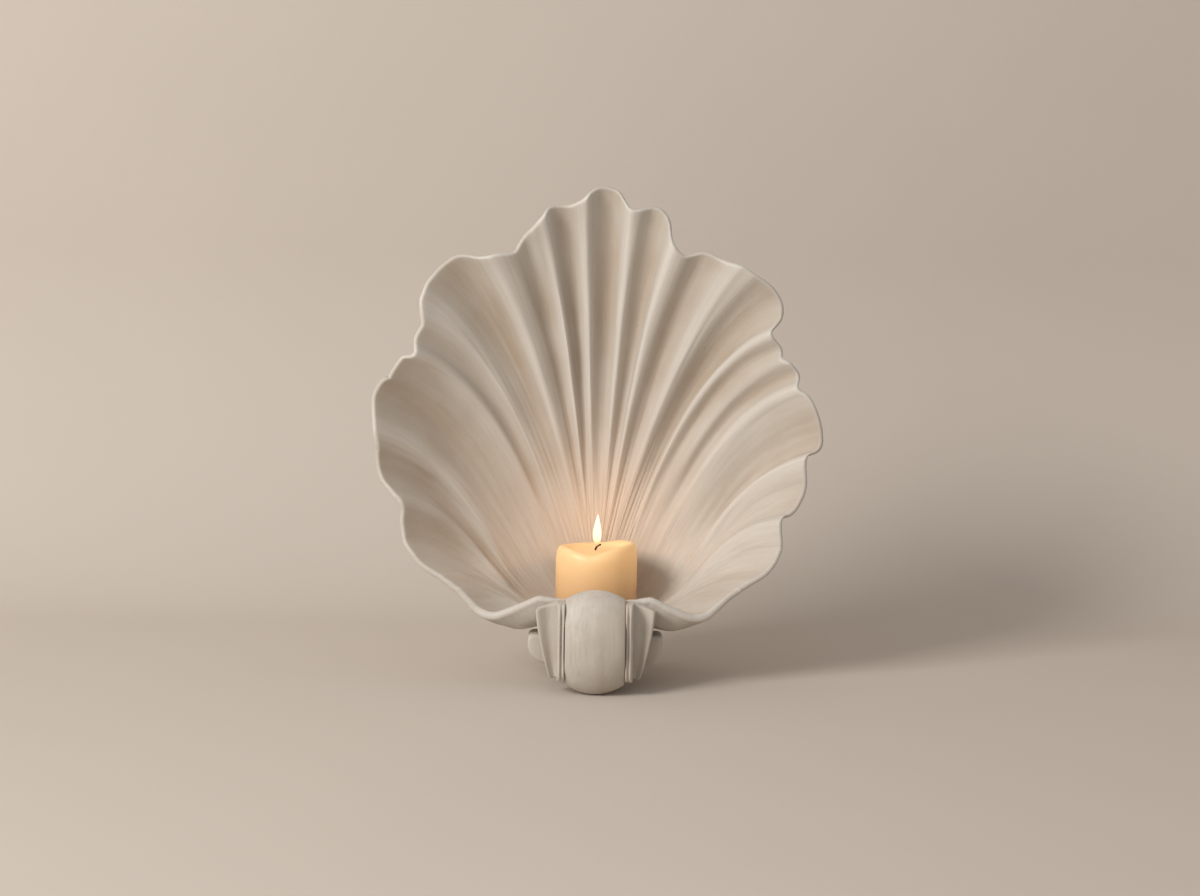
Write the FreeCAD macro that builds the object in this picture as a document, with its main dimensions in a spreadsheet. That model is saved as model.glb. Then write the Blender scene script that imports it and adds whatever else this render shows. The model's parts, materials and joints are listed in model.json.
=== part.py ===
import FreeCAD, Part
import math
import os
import re

Vector = FreeCAD.Vector
doc = FreeCAD.newDocument("ShellWallSconce")

# ---------------------------------------------------------------------------
# Driving dimensions, millimetres.  +X is the viewer's right and the shelf is the
# plane Z = 0.  Everything is drawn with the wall as the plane Y = 0 and the room
# on its -Y side, and at the end it moves so that the origin is the footprint's middle.
# ---------------------------------------------------------------------------
SIZES = (
    # fluted shell
    ("rim_half_width", 183.5),     # half the shell's width at its widest lobes
    ("rim_half_height", 185.5),    # the same measure taken up and down
    ("rim_centre_height", 190.0),  # height that the rim's angles are taken about
    ("rim_sway", 3.2),             # the widest lobes sit this much to the left
    ("top_lean", 50.0),            # how far the top lobe stands off the wall
    ("side_reach", 90.0),          # how far the widest lobes stand off the wall
    ("lip_reach", 118.0),          # how far the bowl's front lip stands off the wall
    ("flute_height", 4.0),         # crest over the mean surface at the rim
    ("rim_wall", 5.0),
    ("bowl_wall", 9.0),
    ("floor_wall", 6.0),
    ("bowl_floor", 60.0),          # height of the bowl's floor
    ("floor_half_width", 82.0),    # where the floor starts to rise at the sides
    ("throat_depth", 12.0),        # from the wall to the floor's back edge
    # seat for the drip plate
    ("seat_from_wall", 66.0),
    ("seat_radius", 37.0),
    ("seat_depth", 2.0),
    ("hub_radius", 40.0),          # where the flutes' lines begin
    ("hub_step", 0.3),             # the flat round the seat lies this much lower
    ("floor_disc_radius", 46.0),
    # neck under the bowl
    ("neck_level", 45.0),          # height of the joint between the neck and the corbel
    ("neck_half_width", 48.0),
    ("neck_flare", 18.0),
    ("neck_top", 58.0),
    ("neck_back_half_width", 40.0),
    ("neck_widest_from", 50.0),
    ("neck_widest_to", 92.0),
    # back pad that carries the hanger
    ("back_gap", 1.5),             # the back stands this far off the wall, on felt
    ("pad_half_width", 32.0),
    ("pad_bottom", 66.0),
    ("pad_top", 262.0),
    ("pad_bite", 2.0),             # how deep the pad runs into the shell's wall
    # corbel
    ("corbel_half_width", 46.0),   # at its top, just under the neck
    ("corbel_foot_half_width", 34.0),
    ("corbel_cheek", 20.0),        # height of the straight cheeks
    ("corbel_front", 126.0),
    ("corbel_toe", 14.0),
    ("foot_length", 58.0),
    ("foot_lift", 2.0),            # the rear foot stands this high, on felt
    ("arch_rise", 26.0),
    ("arch_front", 112.0),
    # scroll
    ("roll_axis", 134.0),          # from the wall to the roll's lowest line
    ("roll_height", 86.4),
    ("roll_depth", 24.0),
    ("roll_half_width", 24.5),
    ("roll_crown", 8.0),           # the roll's ends are this much lower than its middle
    ("roll_bow", 4.0),             # and stand this much further back
    ("bead_width", 6.5),
    ("bead_bottom", 11.5),
    ("bead_top", 76.0),
    ("bead_depth", 20.0),
    ("bead_corner", 10.0),
    ("bead_groove", 2.0),
    ("wing_top", 70.0),
    ("wing_bottom", 13.0),
    ("wing_top_width", 18.0),
    ("wing_bottom_width", 6.0),
    ("wing_bulge", 1.8),
    ("wing_root_depth", 8.0),
    ("wing_tip_depth", 14.0),
    # side volutes
    ("volute_back", 90.0),
    ("volute_front", 117.0),
    ("volute_bottom", 20.0),
    ("volute_reach", 55.5),
    ("volute_round", 17.0),
    # candle and what holds it
    ("plate_clearance", 0.7),
    ("plate_sheet", 1.6),
    ("spike_half_width", 2.0),
    ("spike_tip", 0.3),
    ("spike_length", 24.0),
    ("spike_base_radius", 6.0),
    ("spike_base_height", 1.5),
    ("spike_clearance", 0.4),
    ("spike_hole_radius", 3.2),
    ("candle_radius", 34.0),
    ("candle_height", 51.0),
    ("melt_radius", 26.0),
    ("melt_depth", 4.0),
    ("wick_radius", 0.8),
    ("wick_buried", 18.0),
    ("wick_upright", 4.0),
    ("wick_bent", 5.0),
    ("wick_lean", 40.0),
    # fasteners
    ("bolt_spacing", 40.0),
    ("bolt_from_wall", 42.0),
    ("bolt_radius", 3.0),
    ("bolt_head_radius", 5.7),
    ("bolt_head_height", 4.0),
    ("bolt_seat_height", 25.0),
    ("bolt_engagement", 5.0),
    ("bolt_clearance", 0.4),
    ("washer_width", 15.0),
    ("washer_thickness", 1.6),
    ("pocket_clearance", 0.5),
    ("anchor_half_length", 29.0),
    ("anchor_half_width", 6.0),
    ("anchor_height", 6.5),
    ("key_half_width", 9.0),
    ("key_length", 16.0),
    ("key_bottom", 28.0),
    ("key_top", 36.0),
    ("hanger_height", 236.0),      # height of the keyholes' round ends
    ("hanger_spacing", 32.0),
    ("hanger_half_width", 28.0),
    ("hanger_half_length", 17.0),
    ("hanger_sheet", 2.0),
    ("keyhole_radius", 4.5),
    ("keyhole_slot_radius", 2.25),
    ("keyhole_travel", 9.0),
    ("keyhole_room", 1.5),
    ("keyhole_pocket_depth", 7.0),
    ("hanger_screw_radius", 1.5),
    ("hanger_screw_head_radius", 3.2),
    ("hanger_screw_head", 1.0),
    ("hanger_screw_length", 10.0),
    ("hanger_screw_reach", 11.0),
    # felt strips
    ("bumper_width", 20.0),
    ("bumper_height", 10.0),
    ("bumper_inset", 6.0),
    ("foot_pad_width", 16.0),
    ("foot_pad_length", 22.0),
    ("foot_pad_inset", 6.0),
)

sheet = doc.addObject("Spreadsheet::Sheet", "Sizes")
for row, (alias, value) in enumerate(SIZES, start=1):
    sheet.set("A%d" % row, alias)
    sheet.set("B%d" % row, str(value))
    sheet.setAlias("B%d" % row, alias)
doc.recompute()


def size(name):
    """The value of one driving dimension."""
    return float(getattr(sheet, name))


def formula(text):
    """A formula written with plain size names, as the document reads it."""
    return re.sub(r"[a-z][a-z_]+", r"Sizes.\g<0>", text)


def worked_out(text):
    """The present value of such a formula."""
    return float(sheet.evalExpression(formula(text)))


def bind(feature, **properties):
    """Tie properties of a feature to formulas of the sheet."""
    for name, text in properties.items():
        feature.setExpression(name, formula(text))


ZERO = "0 * foot_lift"
SIDES = (("left", "-"), ("right", ""))


def place(feature, x=ZERO, y=ZERO, z=ZERO):
    """Tie the feature's place to formulas of the sheet."""
    for axis, text in (("x", x), ("y", y), ("z", z)):
        feature.setExpression("Placement.Base." + axis, formula(text))


# ---------------------------------------------------------------------------
# Ways of making a piece
# ---------------------------------------------------------------------------
def new_body(name):
    return doc.addObject("PartDesign::Body", name)


def origin_plane(body, role):
    return [item for item in body.Origin.OriginFeatures if item.Role == role][0]


def outline(body, name, role, corners, offset=None, arcs=()):
    """A closed sketch through corners, each given by two formulas.

    An entry (start, middle) in arcs turns the side that starts at that corner into an arc
    whose middle point has the two formulas of middle.
    """
    sketch = body.newObject("Sketcher::SketchObject", name)
    sketch.AttachmentSupport = [(origin_plane(body, role), "")]
    sketch.MapMode = "FlatFace"
    if offset is not None:
        sketch.setExpression("AttachmentOffset.Base.z", formula(offset))
    points = [Vector(worked_out(x), worked_out(y), 0) for x, y in corners]
    middles = dict(arcs)
    for index, start in enumerate(points):
        end = points[(index + 1) % len(points)]
        if index in middles:
            middle = Vector(worked_out(middles[index][0]), worked_out(middles[index][1]), 0)
            leftward = (middle - start).cross(end - middle).z > 0
            sketch.addGeometry(Part.Arc(start, middle, end) if leftward else Part.Arc(end, middle, start), False)
        else:
            sketch.addGeometry(Part.LineSegment(start, end), False)
    for index, (x, y) in enumerate(corners):
        shared = (index + 1) % len(points)
        tie_corner(sketch, points, index, shared)
        geometry, vertex = start_vertex(sketch, points[index], index)
        tie(sketch, "DistanceX", geometry, vertex, points[index].x, x)
        tie(sketch, "DistanceY", geometry, vertex, points[index].y, y)
    for index, middle in middles.items():
        add_arc_middle(sketch, index, middle)
    return sketch


def start_vertex(sketch, point, index):
    """The geometry's vertex that lies on point: an arc may run from its end to its start."""
    edge = sketch.Geometry[index]
    vertex = 1 if edge.StartPoint.distanceToPoint(point) < 1e-6 else 2
    return index, vertex


def tie_corner(sketch, points, index, following):
    """Join one side's end to the next side's start."""
    import Sketcher
    _, near = start_vertex(sketch, points[following], index)
    _, far = start_vertex(sketch, points[following], following)
    sketch.addConstraint(Sketcher.Constraint("Coincident", index, near, following, far))


def tie(sketch, kind, geometry, vertex, value, text):
    """One signed distance from the sketch's origin, tied to a formula."""
    import Sketcher
    number = sketch.addConstraint(Sketcher.Constraint(kind, -1, 1, geometry, vertex, value))
    sketch.setExpression("Constraints[%d]" % number, formula(text))


def add_arc_middle(sketch, index, middle):
    """Hold an arc's middle point with a point on it."""
    import Sketcher
    where = Vector(worked_out(middle[0]), worked_out(middle[1]), 0)
    point = sketch.addGeometry(Part.Point(where), True)
    sketch.addConstraint(Sketcher.Constraint("PointOnObject", point, 1, index))
    tie(sketch, "DistanceX", point, 1, where.x, middle[0])
    tie(sketch, "DistanceY", point, 1, where.y, middle[1])


def pad(body, sketch, length, reverse=False, both_ways=True):
    feature = body.newObject("PartDesign::Pad", sketch.Name + "_pad")
    feature.Profile = sketch
    bind(feature, Length=length)
    feature.Midplane = both_ways
    feature.Reversed = reverse
    body.Tip = feature
    return feature


def turned(name, corners):
    """A turned piece: a half section swung about the upright axis."""
    body = new_body(name)
    sketch = outline(body, name + "_section", "XZ_Plane", corners)
    feature = body.newObject("PartDesign::Revolution", name + "_turned")
    feature.Profile = sketch
    feature.ReferenceAxis = (sketch, ["V_Axis"])
    feature.Angle = 360.0
    body.Tip = feature
    return body


def cylinder(name, radius, length, x=ZERO, y=ZERO, z=ZERO, along="z"):
    """A round bar from its foot at x, y, z, along +Z, +Y, +X or -X."""
    bar = doc.addObject("Part::Cylinder", name)
    bind(bar, Radius=radius, Height=length)
    turns = {"y": (Vector(1, 0, 0), -90), "x": (Vector(0, 1, 0), 90), "-x": (Vector(0, 1, 0), -90)}
    if along in turns:
        bar.Placement.Rotation = FreeCAD.Rotation(*turns[along])
    place(bar, x, y, z)
    return bar


def block(name, length, width, height, x, y, z):
    box = doc.addObject("Part::Box", name)
    bind(box, Length=length, Width=width, Height=height)
    place(box, x, y, z)
    return box


def joined(name, pieces):
    feature = doc.addObject("Part::MultiFuse", name)
    feature.Shapes = pieces
    return feature


def common(name, pieces):
    feature = doc.addObject("Part::MultiCommon", name)
    feature.Shapes = pieces
    return feature


def cut(name, base, tools):
    feature = doc.addObject("Part::Cut", name)
    feature.Base = base
    feature.Tool = tools[0] if len(tools) == 1 else joined(name + "_tools", tools)
    return feature


def group(name, pieces):
    """Like pieces that share a node, each still a solid of its own."""
    feature = doc.addObject("Part::Compound", name)
    feature.Links = pieces
    return feature


# ---------------------------------------------------------------------------
# The shell.  Each line of the fluted face runs from the hub in the bowl's
# floor, out along the floor, up the wall and forward to the rim.
# ---------------------------------------------------------------------------
# Outline of the rim, from the top lobe down one side to the front lip: the angle
# about the rim's centre, and the reach as a share of the half width.
RIM_OUTLINE = (
    (0, 1.171), (3, 1.158), (5, 1.126), (7.7, 1.097), (12.5, 1.108), (14.6, 1.088), (17.5, 1.032),
    (20.5, 0.989), (23.3, 0.961), (28.5, 1.005), (32, 1.019), (38, 1.070), (45, 1.072), (49.5, 1.056),
    (51.8, 1.027), (54.8, 0.963), (59, 0.947), (62, 0.934), (64.6, 0.968), (68, 0.965), (70.5, 0.964),
    (73.2, 0.997), (76, 1.010), (84.5, 1.000), (89, 0.957), (96, 0.949), (101, 0.920), (106, 0.877),
    (110, 0.893), (116, 0.925), (120, 0.917), (128, 0.864), (135, 0.837), (142, 0.834), (146.5, 0.805),
    (151, 0.735), (158.5, 0.644), (164, 0.634), (170, 0.623), (180, 0.618),
)
# Crests (above 0) and hollows (below 0) where they meet the rim, from the left side
# of the front lip over the top to the right side: the angle, and the share of flute_height.
FLUTES = (
    (-180, 0), (-140, 0), (-118, 0.3), (-109, -0.8), (-102, 0.5), (-91, -0.7), (-84.5, 0.8), (-71.5, -1),
    (-62, 0.7), (-57.5, -0.3), (-51.5, 1), (-38, -1), (-29, 1), (-20, -0.9), (-14.5, 1), (-9.5, -1),
    (-4, 1), (1.5, -0.9), (7.5, 1), (13.5, -1), (20, 1), (28, -0.8), (37, 1), (51, -1), (55.5, 0.8),
    (60, -0.3), (64, 0.6), (67.5, -0.4), (71.5, 0.9), (86, -0.9), (90, 0.8), (104, -0.8), (108.5, 0.6),
    (125, -0.3), (140, 0), (180, 0),
)
# How the lines spread: for an angle at the rim, the angle at which the line leaves the
# hub, its slant from the upright and its lean forward at the rim, and the length of its
# last stretch as a share of the rim's half width.
LEAVING = ((0, 0), (30, 2), (55, 14), (75, 42), (90, 74), (106, 96), (135, 126), (155, 155), (180, 180))
SLANT = ((0, 0), (15, 15), (30, 29), (55, 64), (75, 68), (90, 66), (106, 72), (125, 82), (142, 70), (158, 20), (180, 0))
LEAN = ((0, 20), (30, 24), (60, 36), (90, 42), (120, 44), (142, 40), (158, 25), (180, 18))
LAST_LEG = ((0, 0.53), (30, 0.70), (60, 0.64), (90, 0.64), (106, 0.51), (125, 0.40), (142, 0.22), (158, 0.085), (180, 0.064))
REACH_SHARE = ((0, 0), (25, 0.3), (55, 0.55), (89, 1))
FRONT_SHARE = ((89, 0), (120, 0.54), (150, 0.9), (180, 1))
# Angles of the lines down one side of the shell, and how far along them the back's flats break.
LINES = (0, 4, 7.7, 12.5, 15, 20, 23.3, 28.5, 33, 38, 49.5, 51.8, 54.8, 60, 64, 68, 71.5, 76, 84.5,
         89, 97, 106, 110, 116, 128, 135, 142, 151, 158.5)
BACK_STEPS = (0, 0.16, 0.31, 0.46, 0.63, 0.81, 1)


def slope(table, index):
    """Slope of a smooth curve through the table at one of its entries."""
    if index <= 0 or index >= len(table) - 1:
        return 0.0
    before = (table[index][1] - table[index - 1][1]) / (table[index][0] - table[index - 1][0])
    after = (table[index + 1][1] - table[index][1]) / (table[index + 1][0] - table[index][0])
    return 2 * before * after / (before + after) if before * after > 0 else 0.0


def smooth_value(table, key):
    """Value of a smooth curve through the table's (key, value) entries."""
    index = 0
    while index < len(table) - 2 and key > table[index + 1][0]:
        index += 1
    (start, low), (end, high) = table[index], table[index + 1]
    span = end - start
    t = min(max((key - start) / span, 0.0), 1.0)
    ease = t * t * (3 - 2 * t)
    bend = t * (1 - t) * span
    return low + (high - low) * ease + bend * ((1 - t) * slope(table, index) - t * slope(table, index + 1))


def rim_reach(angle):
    """How far the rim stands off the wall at an angle."""
    if angle <= 89:
        return size("top_lean") + (size("side_reach") - size("top_lean")) * smooth_value(REACH_SHARE, angle)
    return size("side_reach") + (size("lip_reach") - size("side_reach")) * smooth_value(FRONT_SHARE, angle)


def mean_line(angle):
    """Poles of the smooth line to the rim at an angle, before the flutes."""
    side = 1 if angle >= 0 else -1
    turn = abs(angle)
    share = smooth_value(RIM_OUTLINE, turn)
    across = math.sin(math.radians(turn))
    rim = Vector(side * share * size("rim_half_width") * across - size("rim_sway") * across**2,
                 -rim_reach(turn),
                 size("rim_centre_height") + share * size("rim_half_height") * math.cos(math.radians(turn)))
    leaving = math.radians(smooth_value(LEAVING, turn))
    ahead = math.cos(leaving)
    sideways = side * math.sin(leaving)
    seat = Vector(0, -size("seat_from_wall"), size("bowl_floor"))
    hub = seat + Vector(size("hub_radius") * sideways, size("hub_radius") * ahead, 0)
    behind = size("seat_from_wall") - size("throat_depth")
    before = size("lip_reach") - size("seat_from_wall") - size("floor_wall")
    floor_edge = seat + Vector(size("floor_half_width") * sideways, (behind if ahead > 0 else before) * ahead, 0)
    slant = math.radians(smooth_value(SLANT, turn))
    lean = math.radians(smooth_value(LEAN, turn))
    outward = Vector(side * math.sin(slant) * math.cos(lean), -math.sin(lean), math.cos(slant) * math.cos(lean))
    last_leg = smooth_value(LAST_LEG, turn) * size("rim_half_width")
    return [hub, floor_edge, rim - outward * last_leg, rim]


def along(poles, u):
    """Point of the line with four poles at 0 <= u <= 1."""
    w = 1 - u
    return poles[0] * w**3 + poles[1] * (3 * u * w * w) + poles[2] * (3 * u * u * w) + poles[3] * u**3


def outward_normal(angle, u):
    """Unit normal of the smooth face, out of the bowl."""
    step_u, step_angle = 0.004, 0.6
    poles = mean_line(angle)
    up_line = along(poles, min(u + step_u, 1)) - along(poles, u - step_u)
    low = along(mean_line(max(angle - step_angle, -180)), u)
    high = along(mean_line(min(angle + step_angle, 180)), u)
    normal = up_line.cross(high - low)
    return normal.normalize()


def wall_lines(angle):
    """Poles of the wall's face and back along one line."""
    poles = mean_line(angle)
    middle, edge = outward_normal(angle, 0.55), outward_normal(angle, 0.98)
    corner = (outward_normal(angle, 0.25) + Vector(0, 0, -1)).normalize()
    flute = size("flute_height") * smooth_value(FLUTES, angle)
    face = [poles[0], poles[1], poles[2] - middle * flute, poles[3] - edge * flute]
    back = [poles[0] - Vector(0, 0, size("floor_wall")),
            poles[1] + corner * size("floor_wall"),
            poles[2] + middle * size("bowl_wall"),
            poles[3] + edge * (size("rim_wall") - flute)]
    return face, back


def flat_quad(a, b, c, d):
    """Two flat triangles between four points taken in turn."""
    return [Part.Face(Part.makePolygon([a, b, c, a])), Part.Face(Part.makePolygon([a, c, d, a]))]


def fluted_wall():
    """The bowl's wall: its face is ruled between the lines, its plain back is made of flats."""
    angles = [-180] + [-angle for angle in LINES[:0:-1]] + list(LINES)
    faces = []
    for start, end in zip(angles, angles[1:] + [angles[0] + 360]):
        face_a, back_a = wall_lines(start)
        face_b, back_b = wall_lines(end if end < 180 else -180)
        line_a, line_b = Part.BezierCurve(), Part.BezierCurve()
        line_a.setPoles(face_a)
        line_b.setPoles(face_b)
        faces.append(Part.makeRuledSurface(line_a.toShape(), line_b.toShape()))
        for low, high in zip(BACK_STEPS[:-1], BACK_STEPS[1:]):
            faces += flat_quad(along(back_a, low), along(back_b, low), along(back_b, high), along(back_a, high))
        faces += flat_quad(face_a[3], face_b[3], back_b[3], back_a[3])
        faces += flat_quad(face_a[0], back_a[0], back_b[0], face_b[0])
    sewn = Part.makeCompound(faces)
    sewn.sewShape()
    solid = Part.Solid(sewn.Shells[0])
    wall = doc.addObject("Part::Feature", "fluted_wall")
    wall.Shape = solid if solid.Volume > 0 else solid.reversed()
    return wall


def back_pad():
    """The thick part behind the throat that the hanger is let into."""
    _, back = wall_lines(0)
    bite = Vector(0, -size("pad_bite"), 0)
    points = [along(back, step) + bite for step in BACK_STEPS]
    low, high = points[0], points[-1]
    back_y = -size("back_gap")
    side = Part.Face(Part.makePolygon(points + [Vector(0, back_y, high.z), Vector(0, back_y, low.z), low]))
    half = size("pad_half_width")
    slab = doc.addObject("Part::Feature", "pad_slab")
    slab.Shape = side.translated(Vector(-half, 0, 0)).extrude(Vector(2 * half, 0, 0))
    window = block("pad_window", "2 * pad_half_width", "lip_reach", "pad_top - pad_bottom",
                   "-pad_half_width", "-lip_reach", "pad_bottom")
    return common("back_pad", [slab, window])


def neck():
    """The coved moulding under the bowl: its front view and plan, crossed."""
    front_body, plan_body = new_body("neck_front"), new_body("neck_plan")
    wide = "(neck_half_width + neck_flare)"
    bend_x, bend_z = "(neck_half_width + 0.35 * neck_flare)", "(neck_level + 0.65 * (neck_top - neck_level))"
    front = outline(front_body, "neck_front_view", "XZ_Plane", (
        ("-neck_half_width", "neck_level"), ("neck_half_width", "neck_level"), (wide, "neck_top"), ("-" + wide, "neck_top")),
        arcs=((1, (bend_x, bend_z)), (3, ("-" + bend_x, bend_z))))
    pad(front_body, front, "2 * corbel_front")
    plan = outline(plan_body, "neck_plan_view", "XY_Plane", (
        ("-neck_back_half_width", "-back_gap"), ("neck_back_half_width", "-back_gap"),
        (wide, "-neck_widest_from"), (wide, "-neck_widest_to"), ("neck_half_width", "-corbel_front"),
        ("-neck_half_width", "-corbel_front"), ("-" + wide, "-neck_widest_to"), ("-" + wide, "-neck_widest_from")))
    pad(plan_body, plan, "3 * neck_top")
    return common("neck", [front_body, plan_body])


def shell():
    """The scallop: fluted wall, floor with its seat, neck, and the back pad."""
    disc = cylinder("floor_disc", "floor_disc_radius", "floor_wall - hub_step",
                    y="-seat_from_wall", z="bowl_floor - floor_wall")
    body = joined("shell_blank", [fluted_wall(), disc, neck(), back_pad()])
    seat = cylinder("plate_seat", "seat_radius", "candle_height",
                    y="-seat_from_wall", z="bowl_floor - seat_depth")
    return cut("shell", body, [seat, anchor_blank("anchor_bed")] + hanger_recesses())


# ---------------------------------------------------------------------------
# The corbel under the bowl
# ---------------------------------------------------------------------------
def corbel():
    """Side view and front view of the corbel, crossed; cut for its bolts, its key and the volutes."""
    side_body = new_body("corbel_side")
    side = outline(side_body, "corbel_side_view", "YZ_Plane", (
        ("-back_gap", "foot_lift"), ("-back_gap", "neck_level"), ("-corbel_front", "neck_level"),
        ("-corbel_front", "corbel_toe"), ("-arch_front", "corbel_toe"), ("-foot_length", "foot_lift")),
        arcs=((4, ("-(arch_front + foot_length) / 2", "arch_rise")),))
    pad(side_body, side, "4 * corbel_half_width")
    front_body = new_body("corbel_front_body")
    bend_x = "(0.7 * corbel_foot_half_width + 0.3 * corbel_half_width)"
    bend_z = "(0.3 * corbel_cheek + 0.7 * neck_level)"
    front = outline(front_body, "corbel_front_view", "XZ_Plane", (
        ("-corbel_foot_half_width", ZERO), ("corbel_foot_half_width", ZERO),
        ("corbel_foot_half_width", "corbel_cheek"), ("corbel_half_width", "neck_level"),
        ("-corbel_half_width", "neck_level"), ("-corbel_foot_half_width", "corbel_cheek")),
        arcs=((2, (bend_x, bend_z)), (4, ("-" + bend_x, bend_z))))
    pad(front_body, front, "2 * corbel_front")
    blank = common("corbel_blank", [side_body, front_body])
    seats = [volute("volute_seat_" + side, sign) for side, sign in SIDES]
    return cut("bracket_body", blank, bolt_holes() + [key("corbel_mortise")] + seats)


# ---------------------------------------------------------------------------
# The scroll: crowned roll, stepped beads, flaring wings and side volutes
# ---------------------------------------------------------------------------
def scroll_roll():
    """The roll: its side, front and plan views, crossed, so that it is round in all three."""
    side_body, front_body, plan_body = new_body("roll_side"), new_body("roll_front"), new_body("roll_plan")
    flank = "(roll_axis + 0.7 * roll_depth)"
    side = outline(side_body, "roll_side_view", "YZ_Plane", (
        ("-corbel_front", "0.97 * roll_height"), ("-" + flank, "0.85 * roll_height"),
        ("-" + flank, "0.15 * roll_height"), ("-corbel_front", "0.03 * roll_height")),
        arcs=((0, ("-(roll_axis + 0.2 * roll_depth)", "roll_height")),
              (1, ("-(roll_axis + roll_depth)", "roll_height / 2")),
              (2, ("-(roll_axis + 0.2 * roll_depth)", ZERO))))
    pad(side_body, side, "4 * roll_half_width")
    front = outline(front_body, "roll_front_view", "XZ_Plane", (
        ("-roll_half_width", "roll_crown"), ("roll_half_width", "roll_crown"),
        ("roll_half_width", "roll_height - roll_crown"), ("-roll_half_width", "roll_height - roll_crown")),
        arcs=((0, (ZERO, ZERO)), (2, (ZERO, "roll_height"))))
    pad(front_body, front, "2 * (roll_axis + 2 * roll_depth)")
    bowed = "-(roll_axis + roll_depth - roll_bow)"
    plan = outline(plan_body, "roll_plan_view", "XY_Plane", (
        ("-roll_half_width", "-corbel_front"), ("-roll_half_width", bowed),
        ("roll_half_width", bowed), ("roll_half_width", "-corbel_front")),
        arcs=((1, (ZERO, "-(roll_axis + roll_depth)")),))
    pad(plan_body, plan, "3 * roll_height")
    return cut("scroll_roll", common("roll_blank", [side_body, front_body, plan_body]), [key("roll_mortise")])


def side_fillet(side):
    """A bead beside the roll, with a shallow groove between the two."""
    name = "side_fillet_" + side
    body = new_body(name)
    sign = "" if side == "right" else "-"
    for part, start, width, inset in (("groove", "roll_half_width", "bead_width", "bead_groove"),
                                      ("bead", "(roll_half_width + bead_groove)", "bead_width - bead_groove", ZERO)):
        bottom, top = "(bead_bottom + %s)" % inset, "(bead_top - %s)" % inset
        front = "(corbel_front + bead_depth - %s)" % inset
        bend = "0.2929 * bead_corner"
        sketch = outline(body, "%s_%s" % (name, part), "YZ_Plane", (
            ("-corbel_front", bottom), ("-corbel_front", top), ("-(%s - bead_corner)" % front, top),
            ("-" + front, top + " - bead_corner"), ("-" + front, bottom + " + bead_corner"),
            ("-(%s - bead_corner)" % front, bottom)), offset=sign + start,
            arcs=((2, ("-(%s - %s)" % (front, bend), "%s - %s" % (top, bend))),
                  (4, ("-(%s - %s)" % (front, bend), "%s + %s" % (bottom, bend)))))
        pad(body, sketch, width, reverse=side == "left", both_ways=False)
    return body


def wing(side):
    """A flaring plate beside the bead: broad at its top, narrow at its bottom, tipped forward."""
    name = "wing_" + side
    sign = "" if side == "right" else "-"
    root = sign + "(roll_half_width + bead_width)"
    top_tip = sign + "(roll_half_width + bead_width + wing_top_width)"
    bottom_tip = sign + "(roll_half_width + bead_width + wing_bottom_width)"
    front_body, plan_body = new_body(name + "_front"), new_body(name + "_plan")
    bulge = sign + "(roll_half_width + bead_width + (wing_top_width + wing_bottom_width) / 2 + wing_bulge)"
    front = outline(front_body, name + "_front_view", "XZ_Plane", (
        (root, "wing_bottom"), (bottom_tip, "wing_bottom"), (top_tip, "wing_top"), (root, "wing_top")),
        arcs=((1, (bulge, "(wing_top + wing_bottom) / 2")),))
    pad(front_body, front, "4 * corbel_front")
    plan = outline(plan_body, name + "_plan_view", "XY_Plane", (
        (root, "-corbel_front"), (top_tip, "-corbel_front"),
        (top_tip, "-(corbel_front + wing_tip_depth)"), (root, "-(corbel_front + wing_root_depth)")))
    pad(plan_body, plan, "4 * wing_top")
    return common(name, [front_body, plan_body])


def volute(name, sign):
    """The end of a side scroll: flat on top, rolled under at its outer lower edge."""
    body = new_body(name)
    root, tip = sign + "corbel_foot_half_width", sign + "volute_reach"
    bend = "0.2929 * volute_round"
    front = outline(body, name + "_front_view", "XZ_Plane", (
        (root, "volute_bottom"), (sign + "(volute_reach - volute_round)", "volute_bottom"),
        (tip, "volute_bottom + volute_round"), (tip, "neck_level"), (root, "neck_level")),
        offset="volute_back",
        arcs=((1, (sign + "(volute_reach - %s)" % bend, "volute_bottom + " + bend)),))
    pad(body, front, "volute_front - volute_back", both_ways=False)
    return body


# ---------------------------------------------------------------------------
# The candle and what holds it
# ---------------------------------------------------------------------------
CANDLE_LEVEL = "(bowl_floor - seat_depth + plate_sheet)"


def candle_plate():
    """A round metal plate that drops into the seat."""
    return cylinder("candle_plate", "seat_radius - plate_clearance", "plate_sheet",
                    y="-seat_from_wall", z="bowl_floor - seat_depth")


def pricket():
    """The spike: forged square and pointed, on a round foot that is brazed to the plate."""
    foot = cylinder("pricket_foot", "spike_base_radius", "spike_base_height", y="-seat_from_wall", z=CANDLE_LEVEL)
    spike = doc.addObject("Part::Wedge", "pricket_spike")
    spike.Placement.Rotation = FreeCAD.Rotation(Vector(1, 0, 0), 90)
    bind(spike, Xmin="-spike_half_width", Xmax="spike_half_width", Zmin="-spike_half_width", Zmax="spike_half_width",
         X2min="-spike_tip", X2max="spike_tip", Z2min="-spike_tip", Z2max="spike_tip",
         Ymin=ZERO, Ymax="spike_length")
    place(spike, y="-seat_from_wall", z=CANDLE_LEVEL)
    return joined("pricket", [foot, spike])


def candle():
    """The wax: a pillar with a sunk top, bored for the spike and the wick."""
    foot = "(spike_base_radius + spike_clearance)"
    recess = "(spike_base_height + spike_clearance)"
    melt = "(candle_height - melt_depth)"
    body = turned("candle", (
        (foot, ZERO), ("candle_radius", ZERO), ("candle_radius", "candle_height"), ("melt_radius", "candle_height"),
        ("melt_radius", melt), ("wick_radius", melt), ("wick_radius", melt + " - wick_buried"),
        (ZERO, melt + " - wick_buried"), (ZERO, "spike_length + spike_clearance"),
        ("spike_hole_radius", "spike_length + spike_clearance"), ("spike_hole_radius", recess), (foot, recess)))
    place(body, y="-seat_from_wall", z=CANDLE_LEVEL)
    return body


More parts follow.
